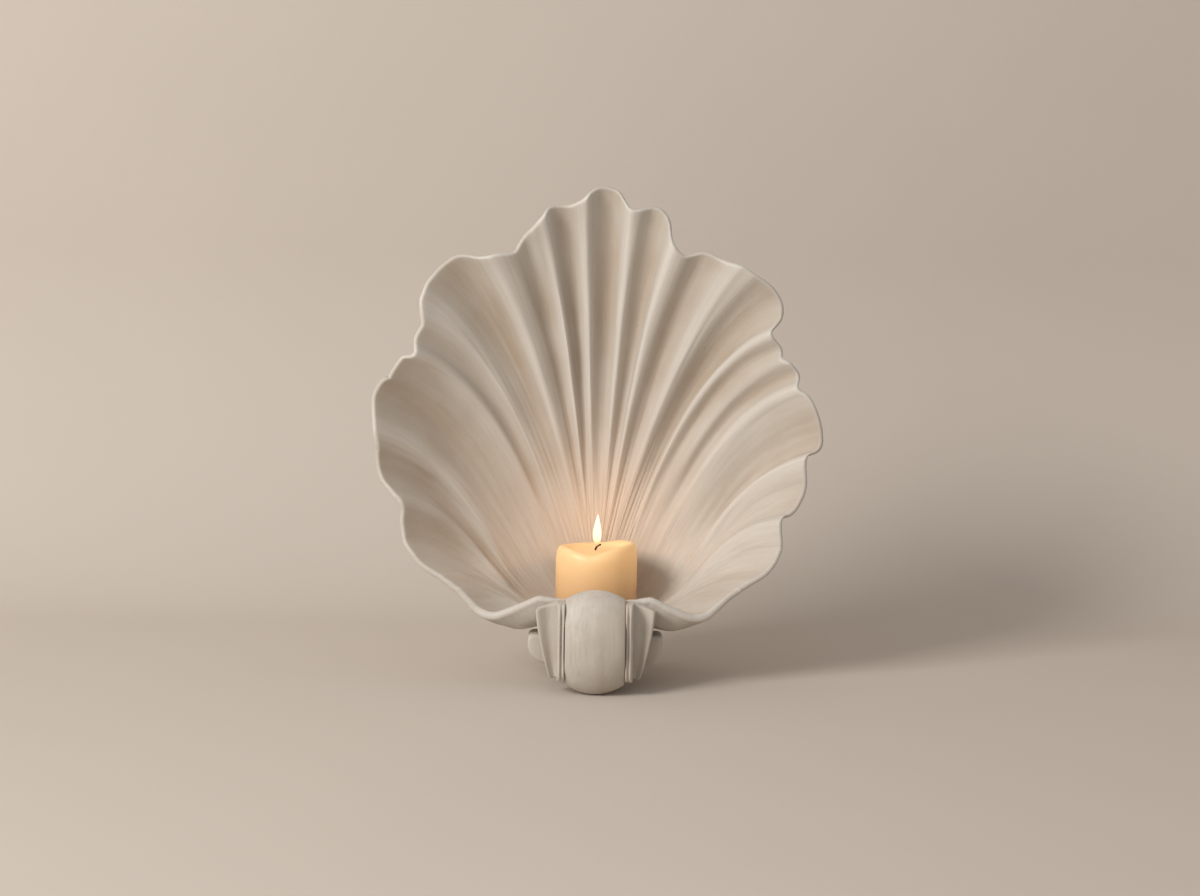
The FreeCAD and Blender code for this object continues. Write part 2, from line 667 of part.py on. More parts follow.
def wick():
    """The burnt wick: upright in the wax, bent over above it."""
    foot = CANDLE_LEVEL + " + candle_height - melt_depth - wick_buried"
    upright = cylinder("wick_upright_part", "wick_radius", "wick_buried + wick_upright", y="-seat_from_wall", z=foot)
    bent = cylinder("wick_bent_part", "wick_radius", "wick_bent",
                    y="-seat_from_wall", z=foot + " + wick_buried + wick_upright - wick_radius")
    bent.Placement.Rotation = FreeCAD.Rotation(Vector(0, 1, 0), size("wick_lean"))
    return joined("wick", [upright, bent])


# ---------------------------------------------------------------------------
# Fasteners, hanger and felt, with the holes they need
# ---------------------------------------------------------------------------
WASHER_LEVEL = "(bolt_seat_height - washer_thickness)"


def hexagon(name, radius, length, x, y, z):
    prism = doc.addObject("Part::Prism", name)
    prism.Polygon = 6
    bind(prism, Circumradius=radius, Height=length)
    place(prism, x, y, z)
    return prism


def anchor_blank(name):
    return block(name, "2 * anchor_half_length", "2 * anchor_half_width", "anchor_height",
                 "-anchor_half_length", "-bolt_from_wall - anchor_half_width", "neck_level")


def anchor_plate():
    """A steel bar cast into the neck from below, tapped for the two bolts."""
    bores = [cylinder("anchor_bore_" + side, "bolt_radius", "bolt_engagement",
                      sign + "bolt_spacing / 2", "-bolt_from_wall", "neck_level") for side, sign in SIDES]
    return cut("anchor_plate", anchor_blank("anchor_blank"), bores)


def bolt_holes():
    """Clearance hole and square pocket, up through the rear foot."""
    tools = []
    for side, sign in SIDES:
        x = sign + "bolt_spacing / 2"
        tools.append(cylinder("bolt_hole_" + side, "bolt_radius + bolt_clearance", "bowl_floor", x, "-bolt_from_wall"))
        pocket = "(washer_width + 2 * pocket_clearance)"
        tools.append(block("pocket_" + side, pocket, pocket, "bolt_seat_height",
                           "%s - %s / 2" % (x, pocket), "-bolt_from_wall - %s / 2" % pocket, ZERO))
    return tools


def joining_bolts():
    """Hexagon bolts that draw the corbel up against the neck."""
    pieces = []
    for side, sign in SIDES:
        x = sign + "bolt_spacing / 2"
        shank = cylinder("bolt_shank_" + side, "bolt_radius", "neck_level + bolt_engagement - " + WASHER_LEVEL,
                         x, "-bolt_from_wall", WASHER_LEVEL)
        head = hexagon("bolt_head_" + side, "bolt_head_radius", "bolt_head_height",
                       x, "-bolt_from_wall", WASHER_LEVEL + " - bolt_head_height")
        pieces.append(joined("bolt_" + side, [shank, head]))
    return group("joining_bolts", pieces)


def joining_washers():
    """Square plate washers that can't turn in their pockets."""
    pieces = []
    for side, sign in SIDES:
        x = sign + "bolt_spacing / 2"
        plate = block("washer_plate_" + side, "washer_width", "washer_width", "washer_thickness",
                      x + " - washer_width / 2", "-bolt_from_wall - washer_width / 2", WASHER_LEVEL)
        hole = cylinder("washer_hole_" + side, "bolt_radius + bolt_clearance / 2", "washer_thickness",
                        x, "-bolt_from_wall", WASHER_LEVEL)
        pieces.append(cut("washer_" + side, plate, [hole]))
    return group("joining_washers", pieces)


def key(name):
    """A flat tenon, half in the corbel's front and half in the roll's back."""
    return block(name, "2 * key_half_width", "key_length", "key_top - key_bottom",
                 "-key_half_width", "-corbel_front - key_length / 2", "key_bottom")


def keyholes(prefix, depth):
    """The tools for two keyholes, each a round end and a slot that runs up from it."""
    y = "-back_gap - " + depth
    tools = []
    for side, sign in SIDES:
        x = sign + "hanger_spacing / 2"
        tools.append(cylinder("%s_end_%s" % (prefix, side), "keyhole_radius", depth, x, y, "hanger_height", along="y"))
        tools.append(cylinder("%s_top_%s" % (prefix, side), "keyhole_slot_radius", depth,
                              x, y, "hanger_height + keyhole_travel", along="y"))
        tools.append(block("%s_slot_%s" % (prefix, side), "2 * keyhole_slot_radius", depth, "keyhole_travel",
                           x + " - keyhole_slot_radius", y, "hanger_height"))
    return tools


HANGER_BOTTOM = "(hanger_height + keyhole_travel / 2 - hanger_half_length)"
SCREW_SPOTS = (("low", "(hanger_height + keyhole_travel / 2 - hanger_screw_reach)"),
               ("high", "(hanger_height + keyhole_travel / 2 + hanger_screw_reach)"))


def hanger_blank(name):
    return block(name, "2 * hanger_half_width", "hanger_sheet", "2 * hanger_half_length",
                 "-hanger_half_width", "-back_gap - hanger_sheet", HANGER_BOTTOM)


def hanger_screw_shanks(prefix):
    return [cylinder("%s_%s" % (prefix, spot), "hanger_screw_radius", "hanger_screw_length",
                     y="-back_gap - hanger_screw_length", z=height, along="y") for spot, height in SCREW_SPOTS]


def hanger_screw_head(spot, height):
    """A thin hexagon head on the plate, in the gap between the back and the wall."""
    head = doc.addObject("Part::Prism", "screw_head_" + spot)
    head.Polygon = 6
    bind(head, Circumradius="hanger_screw_head_radius", Height="hanger_screw_head")
    head.Placement.Rotation = FreeCAD.Rotation(Vector(1, 0, 0), -90)
    place(head, y="-back_gap", z=height)
    return head


def hanger_recesses():
    """The hanger's shallow bed in the back pad, with deeper places for the wall screws' heads."""
    tools = [hanger_blank("hanger_bed")] + hanger_screw_shanks("screw_hole")
    room = "(keyhole_radius + keyhole_room)"
    for side, sign in SIDES:
        tools.append(block("head_room_" + side, "2 * " + room, "keyhole_pocket_depth", "2 * %s + keyhole_travel" % room,
                           "%shanger_spacing / 2 - %s" % (sign, room), "-back_gap - keyhole_pocket_depth",
                           "hanger_height - " + room))
    return tools


def hanger_plate():
    """One steel plate with two keyholes, flush with the back."""
    return cut("hanger_plate", hanger_blank("hanger_blank"),
               keyholes("keyhole", "hanger_sheet") + hanger_screw_shanks("plate_hole"))


def hanger_screws():
    """Two screws that hold the plate in its bed."""
    return group("hanger_screws", [joined("screw_" + spot, [shank, hanger_screw_head(spot, height)])
                                   for (spot, height), shank in zip(SCREW_SPOTS, hanger_screw_shanks("screw_shank"))])


def wall_bumpers():
    """Felt strips between the back and the wall: one high on the pad, one low on the corbel's foot."""
    return group("wall_bumpers", [
        block("bumper_high", "bumper_width", "back_gap", "bumper_height",
              "-bumper_width / 2", "-back_gap", "pad_bottom + bumper_inset"),
        block("bumper_low", "bumper_width", "back_gap", "bumper_height",
              "-bumper_width / 2", "-back_gap", "foot_lift + bumper_inset")])


def foot_pads():
    """Felt strips under the rear foot."""
    outer = "(corbel_foot_half_width - foot_pad_inset)"
    level = "-foot_pad_inset - foot_pad_length"
    return group("foot_pads", [
        block("foot_pad_left", "foot_pad_width", "foot_pad_length", "foot_lift", "-" + outer, level, ZERO),
        block("foot_pad_right", "foot_pad_width", "foot_pad_length", "foot_lift",
              outer + " - foot_pad_width", level, ZERO)])


# ---------------------------------------------------------------------------
# All sub-parts, checked and written
# ---------------------------------------------------------------------------
PIECES = {
    "shell": shell(),
    "bracket_body": corbel(),
    "scroll_roll": scroll_roll(),
    "side_fillet_left": side_fillet("left"),
    "side_fillet_right": side_fillet("right"),
    "wing_left": wing("left"),
    "wing_right": wing("right"),
    "volute_left": volute("volute_left", "-"),
    "volute_right": volute("volute_right", ""),
    "candle_plate": candle_plate(),
    "pricket": pricket(),
    "candle": candle(),
    "wick": wick(),
    "joining_bolts": joining_bolts(),
    "joining_washers": joining_washers(),
    "anchor_plate": anchor_plate(),
    "scroll_key": key("scroll_key"),
    "hanger_plate": hanger_plate(),
    "hanger_screws": hanger_screws(),
    "wall_bumpers": wall_bumpers(),
    "foot_pads": foot_pads(),
}


def put_in_frame(name, piece):
    """The sub-part in the part's frame, half the depth forward of the wall's."""
    placed = doc.addObject("Part::Compound", "placed_" + name)
    placed.Links = [piece]
    placed.Label = name
    place(placed, y="(roll_axis + roll_depth) / 2")
    return placed


PLACED = {name: put_in_frame(name, piece) for name, piece in PIECES.items()}
doc.recompute()
for item in doc.Objects:
    if "Invalid" in item.State or "Error" in item.State:
        raise RuntimeError("%s could not be made" % item.Name)

os.makedirs("parts", exist_ok=True)
for name, piece in PLACED.items():
    if piece.Shape.isNull() or not piece.Shape.isValid():
        raise RuntimeError("%s is not a sound solid" % name)
    print("%-20s %2d solid(s) %9.2f cm3" % (name, len(piece.Shape.Solids), piece.Shape.Volume / 1000))
    piece.Shape.exportStep("parts/%s.step" % name)
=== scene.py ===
import json
import math

import bmesh
import bpy
from mathutils import Matrix, Vector, noise

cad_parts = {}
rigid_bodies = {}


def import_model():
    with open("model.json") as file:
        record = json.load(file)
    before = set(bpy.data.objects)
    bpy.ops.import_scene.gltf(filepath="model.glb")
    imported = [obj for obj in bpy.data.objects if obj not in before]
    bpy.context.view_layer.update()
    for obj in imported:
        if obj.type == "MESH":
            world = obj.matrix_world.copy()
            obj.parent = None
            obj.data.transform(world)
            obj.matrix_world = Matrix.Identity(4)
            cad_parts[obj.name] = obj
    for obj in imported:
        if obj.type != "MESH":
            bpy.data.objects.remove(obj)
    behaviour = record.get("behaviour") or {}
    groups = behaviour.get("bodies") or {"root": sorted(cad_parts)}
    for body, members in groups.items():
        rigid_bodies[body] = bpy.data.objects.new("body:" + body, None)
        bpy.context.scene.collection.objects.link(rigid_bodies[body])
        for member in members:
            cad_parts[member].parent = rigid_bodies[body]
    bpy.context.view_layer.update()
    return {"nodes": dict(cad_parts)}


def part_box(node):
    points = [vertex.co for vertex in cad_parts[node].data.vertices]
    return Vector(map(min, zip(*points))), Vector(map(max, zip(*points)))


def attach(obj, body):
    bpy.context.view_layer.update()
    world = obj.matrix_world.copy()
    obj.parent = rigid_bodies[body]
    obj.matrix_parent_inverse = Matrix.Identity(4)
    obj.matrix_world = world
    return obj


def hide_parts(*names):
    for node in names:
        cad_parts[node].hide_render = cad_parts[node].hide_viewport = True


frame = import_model()


# ---------------------------------------------------------------------------
# Camera and studio. A tall seamless sweep of warm beige card stands behind the
# sconce. A big soft lamp stands well to the left in front of it, a weak one
# fills in low, and the room gives the rest. A long lens looks on from 2.4 m.
# ---------------------------------------------------------------------------
IMAGE_WIDTH = 1200
FOCAL_PIXELS = 2833
CAMERA_PLACE = (0.0015, -2.3186, 0.5211)
CAMERA_DOWN = math.radians(8.0)
CAMERA_ROLL = math.radians(0.9)

scene = bpy.context.scene
scene.view_settings.view_transform = "Standard"
camera = bpy.data.objects.new("camera", bpy.data.cameras.new("camera"))
scene.collection.objects.link(camera)
camera.data.sensor_width = 36
camera.data.lens = camera.data.sensor_width * FOCAL_PIXELS / IMAGE_WIDTH
camera.matrix_world = (Matrix.Translation(CAMERA_PLACE)
                       @ Matrix.Rotation(math.pi / 2 - CAMERA_DOWN, 4, "X")
                       @ Matrix.Rotation(CAMERA_ROLL, 4, "Z"))
scene.camera = camera


def paint(code):
    """A linear colour from an sRGB hex value."""
    parts = [int(code[start:start + 2], 16) / 255 for start in (1, 3, 5)]
    return [p / 12.92 if p <= 0.04045 else ((p + 0.055) / 1.055) ** 2.4 for p in parts] + [1.0]


def add(tree, kind, links=(), values=(), **settings):
    """A new node, with its settings, the values on its sockets and what feeds its sockets."""
    made = tree.nodes.new("ShaderNode" + kind)
    for name, value in settings.items():
        setattr(made, name, value)
    for socket, value in dict(values).items():
        made.inputs[socket].default_value = value
    for socket, source in dict(links).items():
        tree.links.new(source, made.inputs[socket])
    return made


def new_finish(name):
    """A material with an empty Principled shader: the material, its tree and the shader."""
    made = bpy.data.materials.new(name)
    made.use_nodes = True
    return made, made.node_tree, made.node_tree.nodes["Principled BSDF"]


def aimed_lamp(name, place, target, power, size, colour):
    """A square soft lamp that looks at a point."""
    lamp = bpy.data.objects.new(name, bpy.data.lights.new(name, "AREA"))
    lamp.data.energy, lamp.data.size = power, size
    lamp.data.color = paint(colour)[:3]
    look = Vector(target) - Vector(place)
    turn = look.to_track_quat("-Z", "Y").to_matrix().to_4x4()
    lamp.matrix_world = Matrix.Translation(place) @ turn
    scene.collection.objects.link(lamp)
    return lamp


aimed_lamp("soft_key", (-1.95, -1.80, 1.75), (0.70, 0.20, 0.20), 66, 1.1, "#FFFCF8")
aimed_lamp("low_fill", (-1.2, -2.0, 0.45), (0, 0, 0.15), 4, 1.4, "#FFFDFA")
world = bpy.data.worlds.new("studio_room")
world.use_nodes = True
world.node_tree.nodes["Background"].inputs["Color"].default_value = paint("#F3F1EE")
world.node_tree.nodes["Background"].inputs["Strength"].default_value = 0.52
scene.world = world

# Matt background card: no gloss, and a very faint mottling of the paper.
# In metres: the floor runs from the front to the start of the bend, then the card goes up to its top.
SWEEP_FRONT, SWEEP_START, SWEEP_RADIUS, SWEEP_WIDTH, SWEEP_TOP = 4.5, 0.22, 0.32, 7.0, 3.2
card, tree, shader = new_finish("matt_background_card")
place = add(tree, "TexCoord")
mottle = add(tree, "TexNoise", {"Vector": place.outputs["Object"]}, {"Scale": 3.0, "Detail": 3.0})
tone = add(tree, "ValToRGB", {"Fac": mottle.outputs["Fac"]})
tone.color_ramp.elements[0].color = paint("#C7BDB3")
tone.color_ramp.elements[1].color = paint("#CCC2B8")
tree.links.new(tone.outputs["Color"], shader.inputs["Base Color"])
shader.inputs["Roughness"].default_value = 0.95
shader.inputs["Specular IOR Level"].default_value = 0.1


def only(kind, parts):
    """The corners, or the edges, among the parts of a mesh."""
    return [part for part in parts if isinstance(part, kind)]


bm = bmesh.new()
edge = [bm.verts.new((side * SWEEP_WIDTH / 2, -SWEEP_FRONT, 0)) for side in (-1, 1)]
moved = bmesh.ops.extrude_edge_only(bm, edges=[bm.edges.new(edge)])["geom"]
bmesh.ops.translate(bm, verts=only(bmesh.types.BMVert, moved), vec=(0, SWEEP_FRONT + SWEEP_START, 0))
back = [line for line in only(bmesh.types.BMEdge, moved)
        if all(abs(corner.co.y - SWEEP_START) < 1e-6 for corner in line.verts)]
turned = bmesh.ops.spin(bm, geom=back, cent=(0, SWEEP_START, SWEEP_RADIUS), axis=(1, 0, 0),
                        angle=math.pi / 2, steps=24)["geom_last"]
moved = bmesh.ops.extrude_edge_only(bm, edges=only(bmesh.types.BMEdge, turned))["geom"]
bmesh.ops.translate(bm, verts=only(bmesh.types.BMVert, moved), vec=(0, 0, SWEEP_TOP - SWEEP_RADIUS))
bmesh.ops.remove_doubles(bm, verts=bm.verts, dist=1e-6)
bmesh.ops.recalc_face_normals(bm, faces=bm.faces)
sweep_mesh = bpy.data.meshes.new("sweep")
bm.to_mesh(sweep_mesh)
bm.free()
sweep_mesh.polygons.foreach_set("use_smooth", [True] * len(sweep_mesh.polygons))
sweep_mesh.materials.append(card)
sweep = bpy.data.objects.new("sweep", sweep_mesh)
scene.collection.objects.link(sweep)


# ---------------------------------------------------------------------------
# Shell. A hand-modelled scallop bowl, cast in hard plaster 5 to 9 mm thick,
# with a flat pad behind that carries the hanger. It was whitewashed, and brown
# was rubbed into its hollows along the flutes.
# ---------------------------------------------------------------------------
WALL = 79.0                     # from the middle of the footprint to the wall, mm
RIM_HALF_WIDTH, RIM_HALF_HEIGHT, RIM_CENTRE_HEIGHT, RIM_SWAY = 183.5, 185.5, 190.0, 3.2
TOP_LEAN, SIDE_REACH, LIP_REACH = 50.0, 90.0, 118.0
# The flutes rise from nothing at this share of the way to the rim, over that share of it.
FLUTE_HEIGHT, FLUTE_START, FLUTE_GROWTH = 5.2, 0.32, 0.44
LIP_ANGLE, LIP_SPREAD = 147, 17  # where the front lip is thickest, and how far that spreads
BOWL_FLOOR, FLOOR_HALF_WIDTH, FLOOR_WALL, THROAT_DEPTH = 60.0, 82.0, 6.0, 12.0
SEAT_FROM_WALL, SEAT_RADIUS, SEAT_DEPTH, HUB_RADIUS = 66.0, 37.0, 2.0, 40.0
RIM_ROUND = 2.3                 # half the thickness of the rounded rim
# Angles are taken about the rim's middle, 0 at the top. The shares are of the half width.
RIM_OUTLINE = (
    (0, 1.171), (3, 1.158), (5, 1.126), (7.7, 1.097), (12.5, 1.108), (14.6, 1.088), (17.5, 1.032),
    (20.5, 0.989), (23.3, 0.961), (28.5, 1.005), (32, 1.019), (38, 1.070), (45, 1.072), (49.5, 1.056),
    (51.8, 1.027), (54.8, 0.963), (59, 0.947), (62, 0.934), (64.6, 0.968), (68, 0.965), (70.5, 0.964),
    (73.2, 0.997), (76, 1.010), (84.5, 1.000), (89, 0.957), (96, 0.949), (101, 0.920), (106, 0.877),
    (110, 0.893), (116, 0.925), (120, 0.917), (128, 0.864), (135, 0.837), (142, 0.834), (146.5, 0.805),
    (151, 0.735), (158.5, 0.644), (164, 0.634), (170, 0.623), (180, 0.618),
)
FLUTES = (
    (-180, 0), (-140, 0), (-118, 0.3), (-109, -0.8), (-102, 0.5), (-91, -0.7), (-84.5, 0.8),
    (-71.5, -1),
    (-62, 0.7), (-57.5, -0.3), (-51.5, 1), (-38, -1), (-29, 1), (-20, -0.9), (-14.5, 1), (-9.5, -1),
    (-4, 1), (1.5, -0.9), (7.5, 1), (13.5, -1), (20, 1), (28, -0.8), (37, 1), (51, -1), (55.5, 0.8),
    (60, -0.3), (64, 0.6), (67.5, -0.4), (71.5, 0.9), (86, -0.9), (90, 0.8), (104, -0.8), (108.5, 0.6),
    (125, -0.3), (140, 0), (180, 0),
)
LEAVING = ((0, 0), (30, 2), (55, 14), (75, 42), (90, 74), (106, 96), (135, 126), (155, 155), (180, 180))
SLANT = ((0, 0), (15, 15), (30, 29), (55, 64), (75, 68), (90, 66), (106, 72), (125, 82), (142, 70),
         (158, 20), (180, 0))
LEAN = ((0, 20), (30, 24), (60, 36), (90, 42), (120, 44), (142, 40), (158, 25), (180, 18))
LAST_LEG = ((0, 0.53), (30, 0.70), (60, 0.64), (90, 0.64), (106, 0.51), (125, 0.40), (142, 0.22),
            (158, 0.085), (180, 0.064))
REACH_SHARE = ((0, 0), (25, 0.3), (55, 0.55), (89, 1))
FRONT_SHARE = ((89, 0), (120, 0.54), (150, 0.9), (180, 1))
WALL_THICKNESS = ((0, 6.0), (0.3, 7.0), (0.6, 8.6), (0.85, 6.4), (1, 4.6))


def metres(x, from_wall, z):
    """A place in metres from mm: across, out from the wall, and up."""
    return Vector((x, WALL - from_wall, z)) / 1000


def slope(table, index):
    """Slope of a smooth curve through the table at one of its entries."""
    if index <= 0 or index >= len(table) - 1:
        return 0.0
    before = (table[index][1] - table[index - 1][1]) / (table[index][0] - table[index - 1][0])
    after = (table[index + 1][1] - table[index][1]) / (table[index + 1][0] - table[index][0])
    return 2 * before * after / (before + after) if before * after > 0 else 0.0


def smooth_value(table, key):
    """Value of a smooth curve through the table's (key, value) entries."""
    index = 0
    while index < len(table) - 2 and key > table[index + 1][0]:
        index += 1
    (start, low), (end, high) = table[index], table[index + 1]
    span = end - start
    t = min(max((key - start) / span, 0.0), 1.0)
    ease = t * t * (3 - 2 * t)
    bend = t * (1 - t) * span
    return low + (high - low) * ease + bend * ((1 - t) * slope(table, index) - t * slope(table,
                                                                                         index + 1))


def flute_line(angle):
    """The four poles of the smooth line from the hub to the rim, and how the line leaves the hub."""
    side = 1 if angle >= 0 else -1
    turn = abs(angle)
    share = smooth_value(RIM_OUTLINE, turn)
    across = math.sin(math.radians(turn))
    if turn <= 89:
        reach = TOP_LEAN + (SIDE_REACH - TOP_LEAN) * smooth_value(REACH_SHARE, turn)
    else:
        reach = SIDE_REACH + (LIP_REACH - SIDE_REACH) * smooth_value(FRONT_SHARE, turn)
    rim = Vector((side * share * RIM_HALF_WIDTH * across - RIM_SWAY * across**2, -reach,
                  RIM_CENTRE_HEIGHT + share * RIM_HALF_HEIGHT * math.cos(math.radians(turn))))
    leaving = math.radians(smooth_value(LEAVING, turn))
    ahead, sideways = math.cos(leaving), side * math.sin(leaving)
    seat = Vector((0, -SEAT_FROM_WALL, BOWL_FLOOR))
    hub = seat + Vector((HUB_RADIUS * sideways, HUB_RADIUS * ahead, 0))
    behind, before = SEAT_FROM_WALL - THROAT_DEPTH, LIP_REACH - SEAT_FROM_WALL - FLOOR_WALL
    floor_edge = seat + Vector((FLOOR_HALF_WIDTH * sideways, (behind if ahead > 0 else before) * ahead,
                                0))
    slant, lean = math.radians(smooth_value(SLANT, turn)), math.radians(smooth_value(LEAN, turn))
    outward = Vector((side * math.sin(slant) * math.cos(lean), -math.sin(lean),
                      math.cos(slant) * math.cos(lean)))
    last_leg = smooth_value(LAST_LEG, turn) * RIM_HALF_WIDTH
    return [hub, floor_edge, rim - outward * last_leg, rim], Vector((sideways, ahead, 0))


def on_line(poles, u):
    """Point of the line at 0 <= u <= 1."""
    w = 1 - u
    return poles[0] * w**3 + poles[1] * (3 * u * w * w) + poles[2] * (3 * u * u * w) + poles[3] * u**3


def line_direction(poles, u):
    """The way the line runs there."""
    w = 1 - u
    legs = [poles[i + 1] - poles[i] for i in range(3)]
    return (legs[0] * (w * w) + legs[1] * (2 * u * w) + legs[2] * (u * u)).normalized()


COLUMNS = 640
FACE_ROWS, LIP_ROWS, BACK_ROWS = 78, 7, 30
rows = [("seat", 0, -SEAT_DEPTH), ("seat", 18, -SEAT_DEPTH), ("seat", 36.3, -SEAT_DEPTH),
        ("seat", 37, -1.5),
        ("seat", 37, -0.7), ("seat", 37.5, -0.3)]
rows += [("face", (i / (FACE_ROWS - 1)) ** 0.9, 0) for i in range(FACE_ROWS)]
rows += [("lip", math.pi * (i + 1) / (LIP_ROWS + 1), 0) for i in range(LIP_ROWS)]
rows += [("back", 1 - i / (BACK_ROWS - 1), 0) for i in range(BACK_ROWS)]
rows += [("seat", 20, -FLOOR_WALL), ("seat", 0, -FLOOR_WALL)]
angles = [360 * i / COLUMNS - 180 for i in range(COLUMNS)]
lines = [flute_line(angle) for angle in angles]
crests = []
for angle in angles:
    share = (smooth_value(FLUTES, angle) + 1) / 2
    crests.append(2 * share**1.35 - 1)


def shell_place(column, row):
    """A net corner's place in mm, and its relief: 1 in a hollow, 0 on a crest, 0.5 elsewhere."""
    column %= COLUMNS
    kind, value, drop = rows[row]
    poles, leaving = lines[column]
    if kind == "seat":
        return Vector((0, -SEAT_FROM_WALL, BOWL_FLOOR + drop)) + leaving * value, 0.5
    last = 1 - RIM_ROUND / (3 * (poles[3] - poles[2]).length)
    u = last * (value if kind != "lip" else 1)
    run = line_direction(poles, u)
    beside = on_line(lines[(column + 1) % COLUMNS][0], u) - on_line(lines[column - 1][0], u)
    out = run.cross(beside).normalized()
    middle = on_line(poles, u)
    rise = min(1, max(0, (u - FLUTE_START) / FLUTE_GROWTH))
    grown = rise * rise * (3 - 2 * rise)
    crest = crests[column]
    hand = noise.noise(Vector((angles[column] * 0.45, u * 5,
                               0))) * 0.55 + noise.noise(middle * 0.028) * 1.1
    raised = FLUTE_HEIGHT * crest * grown + hand * min(1, u * 3)
    lip = math.exp(-((abs(angles[column]) - LIP_ANGLE) / LIP_SPREAD) ** 2)
    thick = smooth_value(WALL_THICKNESS, u) + lip * (2.6 * u**4 + 3.5 * u * u * (1 - u**6))
    face = middle - out * raised
    back = middle + out * (thick - raised * grown**2)
    if kind == "face":
        return face, 0.5 - 0.5 * crest * grown
    if kind == "back":
        return back, 0.5
    centre, half = (face + back) / 2, (face - back) / 2
    return centre + half * math.cos(value) + run * (half.length * math.sin(value)), 0.25 - 0.2 * crest


bm = bmesh.new()
flutes_map = bm.loops.layers.uv.new("flutes")
relief_map = bm.loops.layers.uv.new("relief")
bmesh.ops.create_grid(bm, x_segments=COLUMNS, y_segments=len(rows) - 1, size=1)
net = {}
for corner in bm.verts:
    net[corner] = (round((corner.co.x + 1) / 2 * COLUMNS),
                   round((corner.co.y + 1) / 2 * (len(rows) - 1)))
placed = {corner: shell_place(*spot) for corner, spot in net.items()}
for face in bm.faces:
    for loop in face.loops:
        column, row = net[loop.vert]
        kind, value, _ = rows[row]
        along = value if kind in ("face", "back") else int(kind == "lip")
        loop[flutes_map].uv = (column / COLUMNS, along)
        loop[relief_map].uv = (placed[loop.vert][1], 0.5)
for corner, (spot, _) in placed.items():
    corner.co = metres(spot.x, -spot.y, spot.z)
bmesh.ops.remove_doubles(bm, verts=bm.verts, dist=2e-6)
bmesh.ops.recalc_face_normals(bm, faces=bm.faces)


def new_piece(name, bm, finish, body, sharp=38):
    """An object from a bmesh: smooth but for its sharp edges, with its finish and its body."""
    mesh = bpy.data.meshes.new(name)
    bm.to_mesh(mesh)
    bm.free()
    mesh.polygons.foreach_set("use_smooth", [True] * len(mesh.polygons))
    mesh.set_sharp_from_angle(angle=math.radians(sharp))
    mesh.materials.append(finish)
    made = bpy.data.objects.new(name, mesh)
    scene.collection.objects.link(made)
    if body:
        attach(made, body)
    return made


def drawn_out(outline, stations):
    """An outline drawn out through stations, each of which places its points; their faces stay inside."""
    bm = bmesh.new()
    number = bm.verts.layers.int.new("number")
    corners = []
    for index, point in enumerate(outline):
        corner = bm.verts.new(stations[0](point))
        corner[number] = index
        corners.append(corner)
    end = bm.faces.new(corners)
    for station in stations[1:]:
        made = bmesh.ops.extrude_face_region(bm, geom=[end])["geom"]
        end = next(part for part in made if isinstance(part, bmesh.types.BMFace))
        for corner in end.verts:
            corner.co = station(outline[corner[number]])
    bmesh.ops.recalc_face_normals(bm, faces=bm.faces)
    return bm


def merged(base, other, operation):
    """Joins another object to the base, or cuts it away, and drops the other."""
    change = base.modifiers.new("change", "BOOLEAN")
    change.operation, change.object, change.solver = operation, other, "MANIFOLD"
    result = bpy.data.meshes.new_from_object(base.evaluated_get(bpy.context.evaluated_depsgraph_get()))
    base.modifiers.clear()
    base.data = result
    bpy.data.objects.remove(other)


